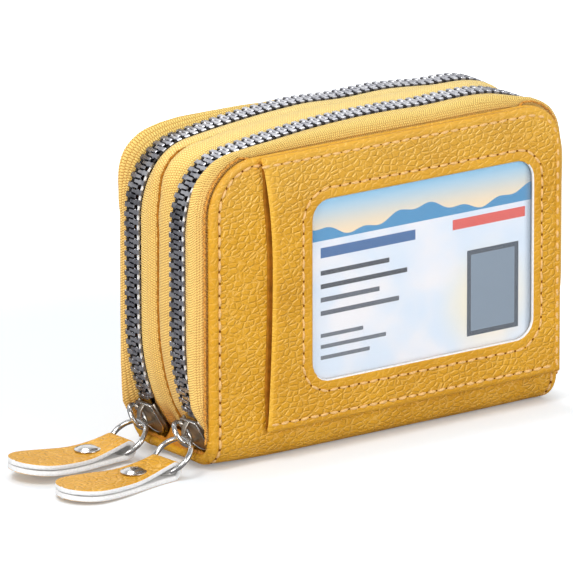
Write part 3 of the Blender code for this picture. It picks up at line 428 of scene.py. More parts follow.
# Tones mixed at random, light and dark, colour of the painted glints, and depth of the bump
LEATHERS = {
    "leather": ("pebbled_leather", (0.72, 0.355, 0.016), (0.63, 0.295, 0.010), (1.0, 0.64, 0.19), 0.00017),
    # A lighter copy for the pull tabs: painted light on their upper faces.
    "tab_leather": ("tab_leather", (0.78, 0.40, 0.035), (0.70, 0.34, 0.022), (1.0, 0.64, 0.20), 0.00018),
    # A darker copy for the pieces inside and at the ends of the bottom: painted shade.
    "inner_leather": (
        "turned_leather", (0.66, 0.27, 0.022), (0.50, 0.18, 0.012), (0.30, 0.09, 0.01), 0.00012,
    ),
}
# Raised and sunk colours, the sunk ones darker as painted shade, and the same at the top, lighter there as
# painted light
WEAVES = {
    "outer_tape": (
        "outer_woven_tape", (0.97, 0.63, 0.17), (0.52, 0.20, 0.014), (0.90, 0.66, 0.18), (0.54, 0.25, 0.022),
    ),
    # The inner tape's top colours are lighter still: painted light on the tape between the zips.
    "inner_tape": (
        "inner_woven_tape", (0.99, 0.66, 0.17), (0.54, 0.21, 0.015), (1.0, 0.80, 0.27), (0.82, 0.44, 0.08),
    ),
    "shaded_tape": ("shaded_tape", (1.0, 0.50, 0.06), (0.66, 0.25, 0.018)),
}
# Colour, roughness, scale and spread of the variation, depth of the bump, and gloss
PLAINS = {
    "mouth_shade": ("pocket_mouth_shade", (0.46, 0.17, 0.010), 0.8, 500.0, 0.3, 0.00004, 0.15),
    "white_edge": ("cut_edge", (0.86, 0.84, 0.82), 0.75, 1500.0, 0.10, 0.00005, 0.25),
    "thread": ("peach_thread", (0.90, 0.54, 0.20), 0.6, 2500.0, 0.25, 0.00003, 0.3),
    "orange_thread": ("orange_thread", (0.74, 0.33, 0.05), 0.65, 2500.0, 0.25, 0.00003, 0.25),
    # Thread colour, darker than the other threads as painted shade in the valley between the tapes.
    "valley_thread": ("valley_thread", (0.50, 0.19, 0.012), 0.7, 1500.0, 0.35, 0.00008, 0.2),
    # The bead is dark as painted shade between the teeth.
    "shadow_dark_bead": ("shadow_dark_bead", (0.035, 0.030, 0.028), 0.6, 2500.0, 0.3, 0.00004, 0.25),
    # Needle holes dark as painted shade inside them.
    "hole": ("needle_hole", (0.22, 0.07, 0.01), 0.9, 900.0, 0.2, 0.0, 0.1),
    "board": ("grey_board", (0.45, 0.40, 0.33), 0.9),
}
# Colour, roughness, how much rougher the scuffs are, and colour of the patches
METALS = {
    "teeth": ("zip_teeth", (0.70, 0.70, 0.73), 0.20, 0.14, (0.46, 0.46, 0.50)),
    "gunmetal": ("dark_nickel", (0.64, 0.58, 0.50), 0.30, 0.08, (0.50, 0.45, 0.38)),
    "nickel": ("bright_nickel", (0.80, 0.79, 0.77), 0.14, 0.05),
}


def make_materials():
    grain = grain_group()
    made = {key: leather_material(*looks, grain, bump) for key, (*looks, bump) in LEATHERS.items()}
    for maker, table in ((weave_material, WEAVES), (plain_material, PLAINS), (metal_material, METALS)):
        made.update({key: maker(*looks) for key, looks in table.items()})
    made["lining"] = cloth_material("lining_cloth", (0.50, 0.21, 0.03), (0.38, 0.14, 0.02))
    made["film"] = film_material()
    made["card"] = print_material()
    return made


# ---------------------------------------------------------------- mesh helpers


def add_mesh(name, points, faces, smooth=True):
    """An object from points in millimetres."""
    mesh = bpy.data.meshes.new(name)
    mesh.from_pydata([Vector(point) * MM for point in points], [], faces)
    if smooth:
        mesh.shade_smooth()
    return place_in_scene(name, mesh)


def finish(name, bm, smooth=True):
    """An object from a bmesh, with its faces turned outward."""
    bmesh.ops.recalc_face_normals(bm, faces=bm.faces)
    mesh = bpy.data.meshes.new(name)
    bm.to_mesh(mesh)
    bm.free()
    if smooth:
        mesh.shade_smooth()
    return place_in_scene(name, mesh)


def extruded(name, outline, way):
    """A solid from a flat outline and the way to its other side."""
    bm = bmesh.new()
    face = bm.faces.new([bm.verts.new(point * MM) for point in outline])
    made = bmesh.ops.extrude_face_region(bm, geom=[face])["geom"]
    far = [part for part in made if isinstance(part, bmesh.types.BMVert)]
    bmesh.ops.translate(bm, verts=far, vec=way * MM)
    return finish(name, bm, smooth=False)


def clean(thing, fill=0.0, turn=True):
    """Closes gaps whose edges are shorter than a length, and turns the faces outward."""
    bm = bmesh.new()
    bm.from_mesh(thing.data)
    if fill:
        short = [edge for edge in bm.edges if edge.is_boundary and edge.calc_length() < fill * MM]
        bmesh.ops.holes_fill(bm, edges=short)
    if turn:
        bmesh.ops.recalc_face_normals(bm, faces=bm.faces)
    bm.to_mesh(thing.data)
    bm.free()
    return thing


def join_rows(points, faces, rows, wrap=False, caps=False, loop=False):
    """Adds rows of points, and the faces between them, to a mesh's lists.

    Each row may close on itself, the end rows may be capped, and the last row may join the first.
    """
    base, count = len(points), len(rows[0])
    points.extend(point for row in rows for point in row)
    for r in range(len(rows) if loop else len(rows) - 1):
        one, other = base + r * count, base + (r + 1) % len(rows) * count
        for c in range(count if wrap else count - 1):
            d = (c + 1) % count
            faces.append((one + c, one + d, other + d, other + c))
    if caps:
        faces.append(tuple(base + k for k in reversed(range(count))))
        faces.append(tuple(base + (len(rows) - 1) * count + k for k in range(count)))


def add_solid(name, rows, **closing):
    points, faces = [], []
    join_rows(points, faces, rows, **closing)
    return clean(add_mesh(name, points, faces))


def thicken(thing, thickness):
    solid = thing.modifiers.new("thickness", "SOLIDIFY")
    solid.thickness = thickness * MM
    solid.offset = 0.0
    return thing


def add_strip(name, rows, along, across, thickness):
    """A sheet with a thickness, and UVs in millimetres."""
    points, faces = [], []
    join_rows(points, faces, rows)
    strip = add_mesh(name, points, faces)
    count = len(rows[0])
    layer = strip.data.uv_layers.new(name="strip")
    for loop, number in zip(layer.data, [number for face in faces for number in face]):
        loop.uv = (along[number // count], across[number % count])
    return thicken(clean(strip), thickness)


def put_attribute(thing, name, values):
    layer = thing.data.attributes.new(name, "FLOAT", "POINT")
    layer.data.foreach_set("value", values)


def press_rim(thing, level):
    """Presses the whole surface as smooth as a rim, by the level."""
    put_attribute(thing, "rim", [level] * len(thing.data.vertices))


def dress(thing, body, slot, *materials, nodes=()):
    """Gives a piece its materials and body, and hides the CAD nodes that it stands for."""
    for material in materials:
        thing.data.materials.append(material)
    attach(thing, body)
    if nodes:
        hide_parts(*nodes)
    return thing


def round_edges(thing, width, segments=2):
    bevel = thing.modifiers.new("edges", "BEVEL")
    bevel.width = width * MM
    bevel.segments = segments
    bevel.limit_method = "ANGLE"
    bevel.angle_limit = math.radians(35)
    return thing


def ease(value):
    value = min(max(value, 0.0), 1.0)
    return value * value * (3 - 2 * value)


def circle(count):
    """Cosines and sines of even steps round a circle."""
    angles = [2 * math.pi * k / count for k in range(count)]
    return [(math.cos(angle), math.sin(angle)) for angle in angles]


def quarter(steps):
    """The same over a quarter turn, without its end."""
    return circle(4 * steps)[:steps]


def lengths_of(line):
    found = [0.0]
    for one, other in zip(line, line[1:]):
        found.append(found[-1] + (Vector(other) - Vector(one)).length)
    return found


def walk(line, lengths, distance):
    """The place at a distance along a line, with the index and share at which it lies."""
    distance = min(max(distance, 0.0), lengths[-1])
    index = next(i for i in range(1, len(line)) if lengths[i] >= distance - 1e-9)
    span = lengths[index] - lengths[index - 1]
    share = (distance - lengths[index - 1]) / span if span else 0.0
    return Vector(line[index - 1]).lerp(Vector(line[index]), share), index, share


def resample(line, count):
    """A line as count + 1 points at even distances."""
    lengths = lengths_of(line)
    return [walk(line, lengths, lengths[-1] * step / count)[0] for step in range(count + 1)]


def directions_of(line, closed=False):
    found = []
    for index in range(len(line)):
        if closed:
            before, after = line[index - 1], line[(index + 1) % len(line)]
        else:
            before, after = line[max(index - 1, 0)], line[min(index + 1, len(line) - 1)]
        found.append((Vector(after) - Vector(before)).normalized())
    return found


def normals_of(line, closed=False):
    """Left-hand normals of a flat line, which point outward on a line that runs left, top, right."""
    return [Vector((-along.y, along.x)) for along in directions_of(line, closed)]


def both_halves(left):
    return left + [(-x, z) for x, z in reversed(left[:-1])]


# ---------------------------------------------------------------- zip lines

ARC_STEPS, WALL_STEPS, BEND_STEPS, CREST_STEPS = 14, 12, 20, 22
SECTION_STEPS = 4

# Where the photographed zips bow away from the CAD line: middle, widths before and after it, and height
BOWS = {"front": ((35.0, 24.0, 15.0, 1.85),), "rear": ((3.0, 15.0, 15.0, -0.7), (42.0, 14.0, 14.0, 1.2))}

# How far the outer tapes' shoulders stand out beyond the chain's crest, by station along it
STAND = {
    "front": (
        (0, -1.2), (1.1, -0.5), (3.5, 0.5), (5.7, 1.5), (8, 0.7), (12, -0.4), (18, -0.9), (26, -0.9),
        (31, -0.1), (36, 1.0), (42, 0.8), (48, 0.0), (56, -1.2), (68, -1.9), (80, -1.7), (86, -1.4),
        (89, -0.7), (92, 0.1), (94, 0.25), (97, 0.3), (100, -0.2), (104, -1.4), (112, -2.0), (136, -2.0),
    ),
    "rear": (
        (0, 0.4), (1.5, 2.4), (3.6, 3.6), (5.2, 2.5), (6.9, 1.4), (8.7, 0.6), (10.5, -0.1), (12.5, -0.5),
        (26, -0.6), (30.3, 0.5), (33, 1.8), (34.3, 2.5), (36.6, 3.4), (38.7, 3.5), (41, 3.2), (43.7, 2.5),
        (48, 1.9), (51.2, 1.0), (54, 0.3), (57, -0.3), (60, -1.1), (68, -2.0), (100, -2.2), (110, -1.2),
        (136, -1.1),
    ),
}
# How far the inner tapes puff up between the zips, by station
PUFF = (
    (0, 0.0), (10, 0.1), (17, 0.7), (25, 0.5), (31.5, 1.1), (35.6, 2.7), (39, 3.2), (42, 3.0), (46, 2.3),
    (52, 1.7), (60, 1.4), (84, 1.3), (96, 0.6), (110, 0.2), (136, 0.0),
)


def bowed(x, zone):
    """How far a zip bows up at a place along the wallet."""
    total = 0.0
    for middle, before, after, height in BOWS.get(zone, ()):
        share = (x - middle) / (after if x > middle else before)
        total += height * math.cos(0.5 * math.pi * share) ** 2 if abs(share) < 1 else 0.0
    return total


def run_point(angle):
    """A place on the arc of the left run, by the angle below its top."""
    return -CHAIN_SIDE + RUN_RADIUS * (1 - math.cos(angle)), RUN_TOP - RUN_RADIUS * math.sin(angle)


def crest_line(zone=None):
    """Crest of the teeth from the left foot over the top to the right foot, as (x, z)."""
    low = math.asin((RUN_TOP - TAPE_FOOT) / RUN_RADIUS)
    left = [run_point(low * (1 - step / ARC_STEPS)) for step in range(ARC_STEPS)]
    for step in range(WALL_STEPS):
        left.append((-CHAIN_SIDE, RUN_TOP + (SHOULDER_Z - RUN_TOP) * step / WALL_STEPS))
    slope = 2 * (CHAIN_TOP - BROW_Z) / BROW_X
    length = math.hypot(1.0, slope)
    start, end = Vector((-CHAIN_SIDE, SHOULDER_Z)), Vector((-BROW_X, BROW_Z))
    lift = start + Vector((0.0, CORNER_HANDLE))
    pull = end - Vector((CORNER_HANDLE, CORNER_HANDLE * slope)) / length
    for step in range(BEND_STEPS):
        t = step / BEND_STEPS
        point = start * (1 - t) ** 3 + lift * 3 * t * (1 - t) ** 2 + pull * 3 * t * t * (1 - t) + end * t**3
        left.append(tuple(point))
    for step in range(CREST_STEPS + 1):
        x = -BROW_X * (1 - step / CREST_STEPS)
        left.append((x, CHAIN_TOP - (CHAIN_TOP - BROW_Z) * (x / BROW_X) ** 2))
    return [(x, z + bowed(x, zone)) for x, z in both_halves(left)]


def cover_line(inset):
    """Edge of a cover at the crest's stations, moved in by the inset."""
    left = []
    shoulder = COVER_TOP - COVER_CORNER
    for _, z in crest_line()[: ARC_STEPS + WALL_STEPS]:
        share = (z - TAPE_FOOT) / (SHOULDER_Z - TAPE_FOOT)
        left.append((-COVER_HALF + inset, TAPE_FOOT + (shoulder - TAPE_FOOT) * share))
    radius = COVER_CORNER - inset
    for cos, sin in quarter(BEND_STEPS):
        left.append((-COVER_HALF + COVER_CORNER - radius * cos, shoulder + radius * sin))
    for step in range(CREST_STEPS + 1):
        left.append((-(COVER_HALF - COVER_CORNER) * (1 - step / CREST_STEPS), COVER_TOP - inset))
    return [shaped(x, z) for x, z in both_halves(left)]


def smooth_section(rails):
    """Points on a smooth curve through the rails of one cross section."""
    found = []
    padded = [rails[0] * 2 - rails[1], *rails, rails[-1] * 2 - rails[-2]]
    for index in range(1, len(padded) - 2):
        a, b, c, d = padded[index - 1 : index + 3]
        for step in range(SECTION_STEPS):
            t = step / SECTION_STEPS
            turn = (2 * a - 5 * b + 4 * c - d) * t * t
            found.append(0.5 * (2 * b + (c - a) * t + turn + (3 * b - a - 3 * c + d) * t**3))
    found.append(rails[-1])
    return found


def beside_slider(x, z):
    """One beside the parked slider and nought above it."""
    return 0.0 if x > 0 else 1.0 - ease((z - SLIDER_Z + 0.6) / 7.0)


def at_station(table, index):
    """The value of a table of (station, value) at a station."""
    for (one, low), (other, high) in zip(table, table[1:]):
        if index <= other:
            return low + (high - low) * (index - one) / (other - one)
    return table[-1][1]


def below_crest(point, normal, side, rails):
    """Places from (depth below the crest, distance from the middle plane)."""
    return [Vector((*(point - normal * depth), side * y)).xzy for depth, y in rails]


def tape_rows(zone, side, crest, normals):
    """Cross sections of the outer and inner tape, and of the strips that line the opening at the slider."""
    tapes, strips = {"outer": [], "inner": []}, {"outer": [], "inner": []}
    edge_in, edge = cover_line(5.0), cover_line(0.4)
    for index, ((x, z), normal) in enumerate(zip(crest, normals)):
        point, far = Vector((x, z)), Vector(edge[index])
        aside = beside_slider(*(point - normal * HALF_TOOTH))
        stand = at_station(STAND[zone], index)
        seat = point - normal * (HALF_TOOTH + 0.4 * aside)
        low = far.lerp(point + normal * (stand - 0.35), 0.62)
        rails = [
            (seat - normal * (0.25 + 3.2 * aside), 12.4 + aside * 1.5), (seat, 12.4 + aside * 1.5),
            (point + normal * (0.5 * stand - 0.45), 13.2 + aside * 0.6), (point + normal * stand, 14.15),
            (low, 14.85), (far.lerp(low, 0.3), 15.0), (far, 14.85), (Vector(edge_in[index]), TAPE_Y),
        ]
        tapes["outer"].append(smooth_section([Vector((p.x, side * y, p.y)) for p, y in rails]))
        drop, start = HALF_TOOTH + aside * 0.5, 6.1 - aside * 1.2
        puff = at_station(PUFF, index)
        shut = ease((index - 43) / 8)
        meet = (0.5 * (bowed(x, "front") + bowed(x, "rear")) - bowed(x, zone)) * normal.y
        rails = [
            (drop + 0.25 + 4.2 * aside, start + 0.45 * aside), (drop, start),
            (drop - 0.08 - 0.5 * puff, start * 0.68), (1.3 + aside * 0.8 - 0.85 * puff, 2.3),
            (1.95 + aside * 0.4 - 0.35 * shut - 0.97 * puff - 0.8 * meet, 1.0),
            (2.6 - 0.9 * shut - puff - meet, 0.45 - 0.42 * shut),
        ]
        tapes["inner"].append(smooth_section(below_crest(point, normal, side, rails)))
        if z < STRIP_TOP and x < 0:
            bed = 1.5 + 0.95 * ease((z - 12.6) / 2.0)
            wall = [(bed, 10.4), (bed, 11.4), (bed - 0.2, 12.2 + aside)]
            wall += [(1.15, 12.5 + 1.45 * aside), (0.75, 12.75 + 1.35 * aside)]
            strips["outer"].append(below_crest(point, normal, side, wall))
            wall = [(bed, 8.2), (bed, 7.2), (bed - 0.2, 6.3 - aside)]
            wall += [(1.15, start + 0.1), (0.75, start - 0.15)]
            strips["inner"].append(below_crest(point, normal, side, wall))
    return tapes, strips


def add_tapes(materials):
    strip_across = [0.0, 0.5, 1.0, 1.5, 2.0]
    for zone, cover, side in BOTH_SIDES:
        crest = crest_line(zone)
        normals = normals_of(crest)
        along = lengths_of(crest)
        tapes, strips = tape_rows(zone, side, crest, normals)
        besides = [ease(1.5 * beside_slider(*(Vector(p) - n * HALF_TOOTH))) for p, n in zip(crest, normals)]
        for name, body, starts, thickness, trough_end in (
            ("outer", cover, (-1.3, 1.2), 0.65, 10.0),
            ("inner", "core", (1.6, -1.4), 0.55, 11.0),
        ):
            rows, strip = tapes[name], strips[name]
            start = starts[0] if side < 0 else starts[1]
            across = [value + start for value in lengths_of(rows[len(rows) // 2])]
            tape = add_strip(f"{zone}_{name}_woven_tape", rows, along, across, thickness)
            # The trough attribute marks the painted shade on the tape beside the parked slider, fading across
            # the tape.
            fades = [1 - ease((column - trough_end) / 2.5) for column in range(len(across))]
            put_attribute(tape, "trough", [beside * fade for beside in besides for fade in fades])
            dress(tape, body, "tape", materials[f"{name}_tape"], nodes=[f"{zone}_{name}_tape"])
            wall = add_strip(f"{zone}_{name}_opening_strip", strip, along, strip_across, 0.12)
            dress(wall, body, "tape", materials["shaded_tape"])
        line = []
        for index, (shown, hidden) in enumerate(zip(cover_line(-0.75), cover_line(0.9))):
            hiding = ease((index - 42) / 5) * (1 - ease((index - 90) / 4) if side < 0 else 1.0)
            line.append(Vector(shown).lerp(Vector(hidden), hiding))
        spots = [(Vector((p.x, side * SEAM_Y, p.y)), Vector((0.0, side, 0.0))) for p in resample(line, 500)]
        look = {"thread": "orange_thread", "reach": 1.02, "radius": 0.25, "holes": False, "slant": 0.22}
        sew(f"{zone}_tape_seam", spots, STITCH_PITCH / 2, cover, materials, **look)
    crest = crest_line()
    line = []
    for index, (point, normal) in enumerate(zip(crest, normals_of(crest))):
        line.append(Vector(point) - normal * (2.15 - at_station(PUFF, index) + 1.4 * ease((index - 41) / 5)))
    line = [Vector((p.x, 0.24 * math.sin(i * 1.9), p.y)) for i, p in enumerate(resample(line, 330))]
    dress(tube("middle_tape_seam", line, 0.42, around=6), "core", "tape", materials["valley_thread"])


# One tooth across the chain with its half lengths, and its levels: height, scale along the chain and inset
TOOTH_OUTLINE = (
    (-2.9, 0.62), (-2.65, 0.72), (-2.45, 0.64), (-2.1, 0.52), (-1.8, 0.64),
    (-1.3, 0.78), (-0.8, 0.46), (0.2, 0.46), (0.8, 0.44), (0.95, 0.36),
)
TOOTH_LEVELS = ((-1.1, 0.94, 0.05), (0.86, 1.0, 0.0), (1.1, 0.84, 0.12))


def add_tooth(points, faces, middle, normal, y, reach):
    """Adds one tooth, a clamp with a narrower rounded head, with its upper edges broken."""
    tangent = Vector((normal.y, -normal.x))
    foot, head = TOOTH_OUTLINE[0][0], TOOTH_OUTLINE[-1][0]
    outline = [*TOOTH_OUTLINE, *[(u, -v) for u, v in reversed(TOOTH_OUTLINE)]]
    rows = []
    for height, scale, inset in TOOTH_LEVELS:
        row = []
        for u, v in outline:
            place = middle + tangent * (v * scale) + normal * height
            row.append((place.x, y + reach * max(min(u, head - inset), foot + inset), place.y))
        rows.append(row)
    join_rows(points, faces, rows, wrap=True, caps=True)


def add_teeth(materials):
    beads_with_painted_highlights = (("rear", "inner"), ("front", "outer"))
    for zone, cover, side in BOTH_SIDES:
        crest = crest_line(zone)
        lengths = lengths_of(crest)
        normals = normals_of(crest)
        first = next(i for i, point in enumerate(crest) if point[1] > CHAIN_FOOT)
        share = (CHAIN_FOOT - crest[first - 1][1]) / (crest[first][1] - crest[first - 1][1])
        start = lengths[first - 1] + share * (lengths[first] - lengths[first - 1])
        rows = (("outer", -side, 0.0, cover), ("inner", side, TOOTH_PITCH / 2, "core"))
        for row, reach, phase, body in rows:
            points, faces, cord = [], [], []
            distance = start + phase + TOOTH_LENGTH
            while distance < lengths[-1] - start - TOOTH_LENGTH * 0.3:
                at, index, part = walk(crest, lengths, distance)
                normal = normals[index - 1].lerp(normals[index], part).normalized()
                middle = at - normal * HALF_TOOTH
                add_tooth(points, faces, middle, normal, side * CHAIN_Y, reach)
                ring = []
                for cos, sin in circle(8):
                    p = middle + normal * (BEAD_RISE + BEAD_RADIUS * sin)
                    y = side * CHAIN_Y - reach * (CHAIN_HALF_WIDTH - BEAD_INSET) + BEAD_RADIUS * cos
                    ring.append((p.x, y, p.y))
                cord.append(ring)
                distance += TOOTH_PITCH
            teeth = clean(add_mesh(f"{zone}_{row}_metal_teeth", points, faces, smooth=False))
            dress(teeth, body, "teeth", materials["teeth"], nodes=[f"{zone}_{row}_teeth"])
            bead = add_solid(f"{zone}_{row}_tape_bead", cord, wrap=True, caps=True)
            # In these rows the bead turns white where the chain runs down the sides: painted highlights on
            # the teeth's flanks.
            if (zone, row) in beads_with_painted_highlights:
                for polygon in bead.data.polygons:
                    x, _, z = polygon.center / MM
                    polygon.material_index = int(abs(x) > (54.0 if z > 30.0 else 50.0))
            dress(bead, body, "tape", materials["shadow_dark_bead"], materials["white_edge"])


# ---------------------------------------------------------------- covers

FOLD_FLAT, FOLD_BEND = FACE_Y - FOLD_RADIUS - HINGE_Y, 0.5 * math.pi * FOLD_RADIUS
COVER_SPREAD = COVER_TOP - FOLD_RADIUS + FOLD_BEND + FACE_Y - FOLD_RADIUS - HINGE_Y
FOLD_STEPS, SIDE_ROWS, CORNER_STEPS, TOP_COLUMNS = 9, 28, 12, 42
LEFT_STATIONS = 1 + FOLD_STEPS + SIDE_ROWS + CORNER_STEPS

# Inset from the edge and height over the face, over the stitch groove and the turned rim and round the edge
RIM_PROFILE = (
    (6.6, 0.02), (5.2, 0.10), (4.1, 0.10), (3.45, -0.02), (3.1, -0.18), (2.8, -0.26), (2.5, -0.18),
    (2.2, 0.0), (1.75, 0.13), (1.25, 0.14), (0.8, 0.02), (0.42, -0.2), (0.14, -0.52), (0.0, -0.85),
    (0.08, -1.2), (0.35, -1.48), (0.9, -LEATHER), (4.0, -LEATHER),
)


def cover_surface(s, w, side):
    """The place on a cover from the distance round its bottom fold and the height over its face."""
    if s < FOLD_FLAT:
        y, z, ny, nz = HINGE_Y + s, 0.0, 0.0, -1.0
    elif s < FOLD_FLAT + FOLD_BEND:
        angle = (s - FOLD_FLAT) / FOLD_RADIUS
        ny, nz = math.sin(angle), -math.cos(angle)
        y, z = FACE_Y - FOLD_RADIUS + FOLD_RADIUS * ny, FOLD_RADIUS + FOLD_RADIUS * nz
    else:
        y, z, ny, nz = FACE_Y, FOLD_RADIUS + s - FOLD_FLAT - FOLD_BEND, 1.0, 0.0
    return side * (y + ny * w), z + nz * w


def lifted(x, z):
    """The bottom curves up a little towards both ends of the wallet."""
    reach = max(abs(x) - LIFT_FROM, 0.0) / (COVER_HALF - LIFT_FROM)
    return z + (LEFT_LIFT if x < 0 else RIGHT_LIFT) * reach * reach * (1 - ease(z / LIFT_TOP))


def shaped(x, z):
    """A place on a cover moved with its lifted bottom and its fuller upper right corner."""
    dx, dz = x - COVER_HALF + COVER_CORNER, z - COVER_TOP + COVER_CORNER
    if dx > 0 and dz > 0:
        reach = dx * dx + dz * dz
        grow = 0.09 * (2 * dx * dz / reach) ** 1.5 * min(reach / COVER_CORNER**2, 1.3) * ease(dz / 6.0)
        x, z = x + dx * grow, z + dz * grow
    return x, lifted(x, z)


def cover_outline():
    """The cover spread flat, as (x, s) from its left hinge corner up and over to its right hinge corner."""
    left = [(-COVER_HALF + FOLD_END_TAPER, 0.0)]
    for step in range(FOLD_STEPS):
        angle = 0.5 * math.pi * step / FOLD_STEPS
        left.append((-COVER_HALF + FOLD_END_TAPER * (1 - math.sin(angle)), FOLD_FLAT + FOLD_RADIUS * angle))
    shoulder = COVER_SPREAD - COVER_CORNER
    for step in range(SIDE_ROWS):
        s = FOLD_FLAT + FOLD_BEND + (shoulder - FOLD_FLAT - FOLD_BEND) * step / SIDE_ROWS
        left.append((-COVER_HALF, s))
    for cos, sin in quarter(CORNER_STEPS):
        left.append((-COVER_HALF + COVER_CORNER * (1 - cos), shoulder + COVER_CORNER * sin))
    reach = COVER_HALF - COVER_CORNER
    top = [(-reach + 2 * reach * step / TOP_COLUMNS, COVER_SPREAD) for step in range(TOP_COLUMNS + 1)]
    return left + top + [(-x, s) for x, s in reversed(left)]


def edge_share(normal):
    """How far in the rim and its stitches run: less at the top and at the right than at the left."""
    return 1.0 - 0.26 * max(normal.y, 0.0) - 0.32 * max(normal.x, 0.0)


def cover_ring(outline, inset):
    ring = []
    for (x, s), normal in zip(outline, [Vector((-1.0, 0.0)), *normals_of(outline)[1:-1], Vector((1.0, 0.0))]):
        share = edge_share(normal)
        ring.append((x - normal.x * inset * share, max(s - normal.y * inset * share, 0.0)))
    return ring


def add_covers(materials):
    outline = cover_outline()
    count = len(outline)

    def on_cover(x, s, height, side):
        y, z = cover_surface(s, height, side)
        x, z = shaped(x, z)
        return x, y, z

    for _, name, side in BOTH_SIDES:
        points, faces, rim, rows = [], [], [], []
        for inset, height in RIM_PROFILE:
            rows.append([on_cover(x, s, height, side) for x, s in cover_ring(outline, inset)])
            rim += [1.0 - ease((inset - 2.0) / 1.2) if height > -1.4 else 1.0] * count
        join_rows(points, faces, rows)
        rings = [range(r * count, (r + 1) * count) for r in range(len(rows))]
        ends = []
        for ring, (inset, height) in ((rings[0], RIM_PROFILE[0]), (rings[-1], RIM_PROFILE[-1])):
            flat = cover_ring(outline, inset)
            grid = []
            for row in range(LEFT_STATIONS):
                (left, s), (right, _) = flat[row], flat[count - 1 - row]
                line = [ring[row]]
                for column in range(1, TOP_COLUMNS):
                    share = column / TOP_COLUMNS
                    line.append(len(points))
                    points.append(on_cover(left + (right - left) * share, s, height, side))
                    rim.append(0.0 if height > -1.0 else 1.0)
                grid.append([*line, ring[count - 1 - row]])
            grid.append(ring[LEFT_STATIONS : LEFT_STATIONS + TOP_COLUMNS + 1])
            for one, other in zip(grid, grid[1:]):
                faces += [(one[k], one[k + 1], other[k + 1], other[k]) for k in range(TOP_COLUMNS)]
            ends.append(grid[0][1:-1])
        left_end, right_end = [ring[0] for ring in rings], [ring[-1] for ring in reversed(rings)]
        faces.append((*left_end, *ends[1], *right_end, *reversed(ends[0])))
        cover = clean(add_mesh(f"{name}_leather", points, faces))
        put_attribute(cover, "rim", rim)
        dress(cover, name, "leather", materials["leather"], nodes=[name])
        spots = []
        for p in resample(cover_ring(outline, STITCH_INSET), 600):
            at, high, face = (Vector((p.x, *cover_surface(p.y, lift, side))) for lift in (-0.2, 1.0, 0.0))
            if side < 0 and at.z > PANEL_FOOT - 0.2 and at.x > panel_left(at.z) - 0.2:
                at.y = -PANEL_FACE + 0.2
            at.x, at.z = shaped(at.x, at.z)
            spots.append((at, high - face))
        sew(f"{name}_edge_stitches", spots, STITCH_PITCH, name, materials)


# ---------------------------------------------------------------- stitches

STITCH_RINGS, STITCH_AROUND = 7, 6
NEEDLE_HOLE = ((0.12, 0.16), (0.02, 0.34), (-0.25, 0.30))  # height and radius


def sew(
    name, spots, pitch, body, materials, thread="thread", reach=0.86, radius=0.38, holes=True, slant=0.10
):
    """A row of stitches and needle holes along spots: places with the direction out of the surface."""
    line = [at for at, _ in spots]
    lengths = lengths_of(line)
    count = max(int(lengths[-1] / pitch), 1)
    pitch = lengths[-1] / count
    points, faces, pits, pit_faces = [], [], [], []
    ring = circle(STITCH_AROUND)
    for number in range(count):
        distance = (number + 0.5) * pitch
        at, index, share = walk(line, lengths, distance)
        out = spots[index - 1][1].lerp(spots[index][1], share).normalized()
        along = (walk(line, lengths, distance + 0.4)[0] - walk(line, lengths, distance - 0.4)[0]).normalized()
        across = out.cross(along).normalized()
        along = (along + across * slant * (1 if number % 2 else -0.4)).normalized()
        across = out.cross(along).normalized()
        half = pitch * reach / 2
        rows = []
        for r in range(STITCH_RINGS):
            t = -1 + 2 * r / (STITCH_RINGS - 1)
            fat = radius * math.sqrt(max(1 - (0.93 * t) ** 2, 0.0))
            lift = 0.20 * (1 - t * t) - 0.10
            row = [across * (fat * 1.15 * cos) + out * (lift + fat * sin) for cos, sin in ring]
            rows.append([at + along * (half * t) + away for away in row])
        join_rows(points, faces, rows, wrap=True, caps=True)
        if holes:
            pit = at + along * (pitch / 2) + out * 0.02
            rows = []
            for height, size in NEEDLE_HOLE:
                row = [along * (size * 1.1 * cos) + across * (size * sin) for cos, sin in ring]
                rows.append([pit + away + out * height for away in row])
            join_rows(pits, pit_faces, rows, wrap=True, caps=True)
    dress(clean(add_mesh(name, points, faces)), body, "leather", materials[thread])
    if holes:
        dress(clean(add_mesh(name + "_holes", pits, pit_faces)), body, "leather", materials["hole"])


# ---------------------------------------------------------------- card pocket

# Steps round the panel and its window, and from the outline in to the window the rings of the leather
SIDE_STEPS, SPAN_STEPS = 30, 40
PANEL_INSETS = (0.0, 0.1, 0.3, 0.6, 0.95, 1.3, 1.6, 1.9, 2.2, 2.5, 2.8, 3.1, 3.5, 4.0, 4.8)
WINDOW_GROWTHS = (4.2, 3.5, 3.05, 2.75, 2.45, 2.1, 1.5, 0.8, 0.42, 0.25, 0.08, 0.0)


def panel_left(z):
    if z > PANEL_WAIST_Z:
        return -PANEL_LEFT - PANEL_BOW_TOP * ((z - PANEL_WAIST_Z) / (COVER_TOP - PANEL_WAIST_Z)) ** 2
    return -PANEL_LEFT - PANEL_BOW_FOOT * ((PANEL_WAIST_Z - z) / (PANEL_WAIST_Z - PANEL_FOOT)) ** 2


def arc(cx, cz, radius, start, end, steps=8):
    angles = [math.radians(start + (end - start) * k / steps) for k in range(steps + 1)]
    return [(cx + radius * math.cos(angle), cz + radius * math.sin(angle)) for angle in angles]


def close_loop(*sides):
    """A loop of the sides left, top, right and foot, with the same steps on opposite sides."""
    loop = []
    for line, steps in zip(sides, (SIDE_STEPS, SPAN_STEPS) * 2):
        loop += resample(line, steps)[:-1]
    return loop


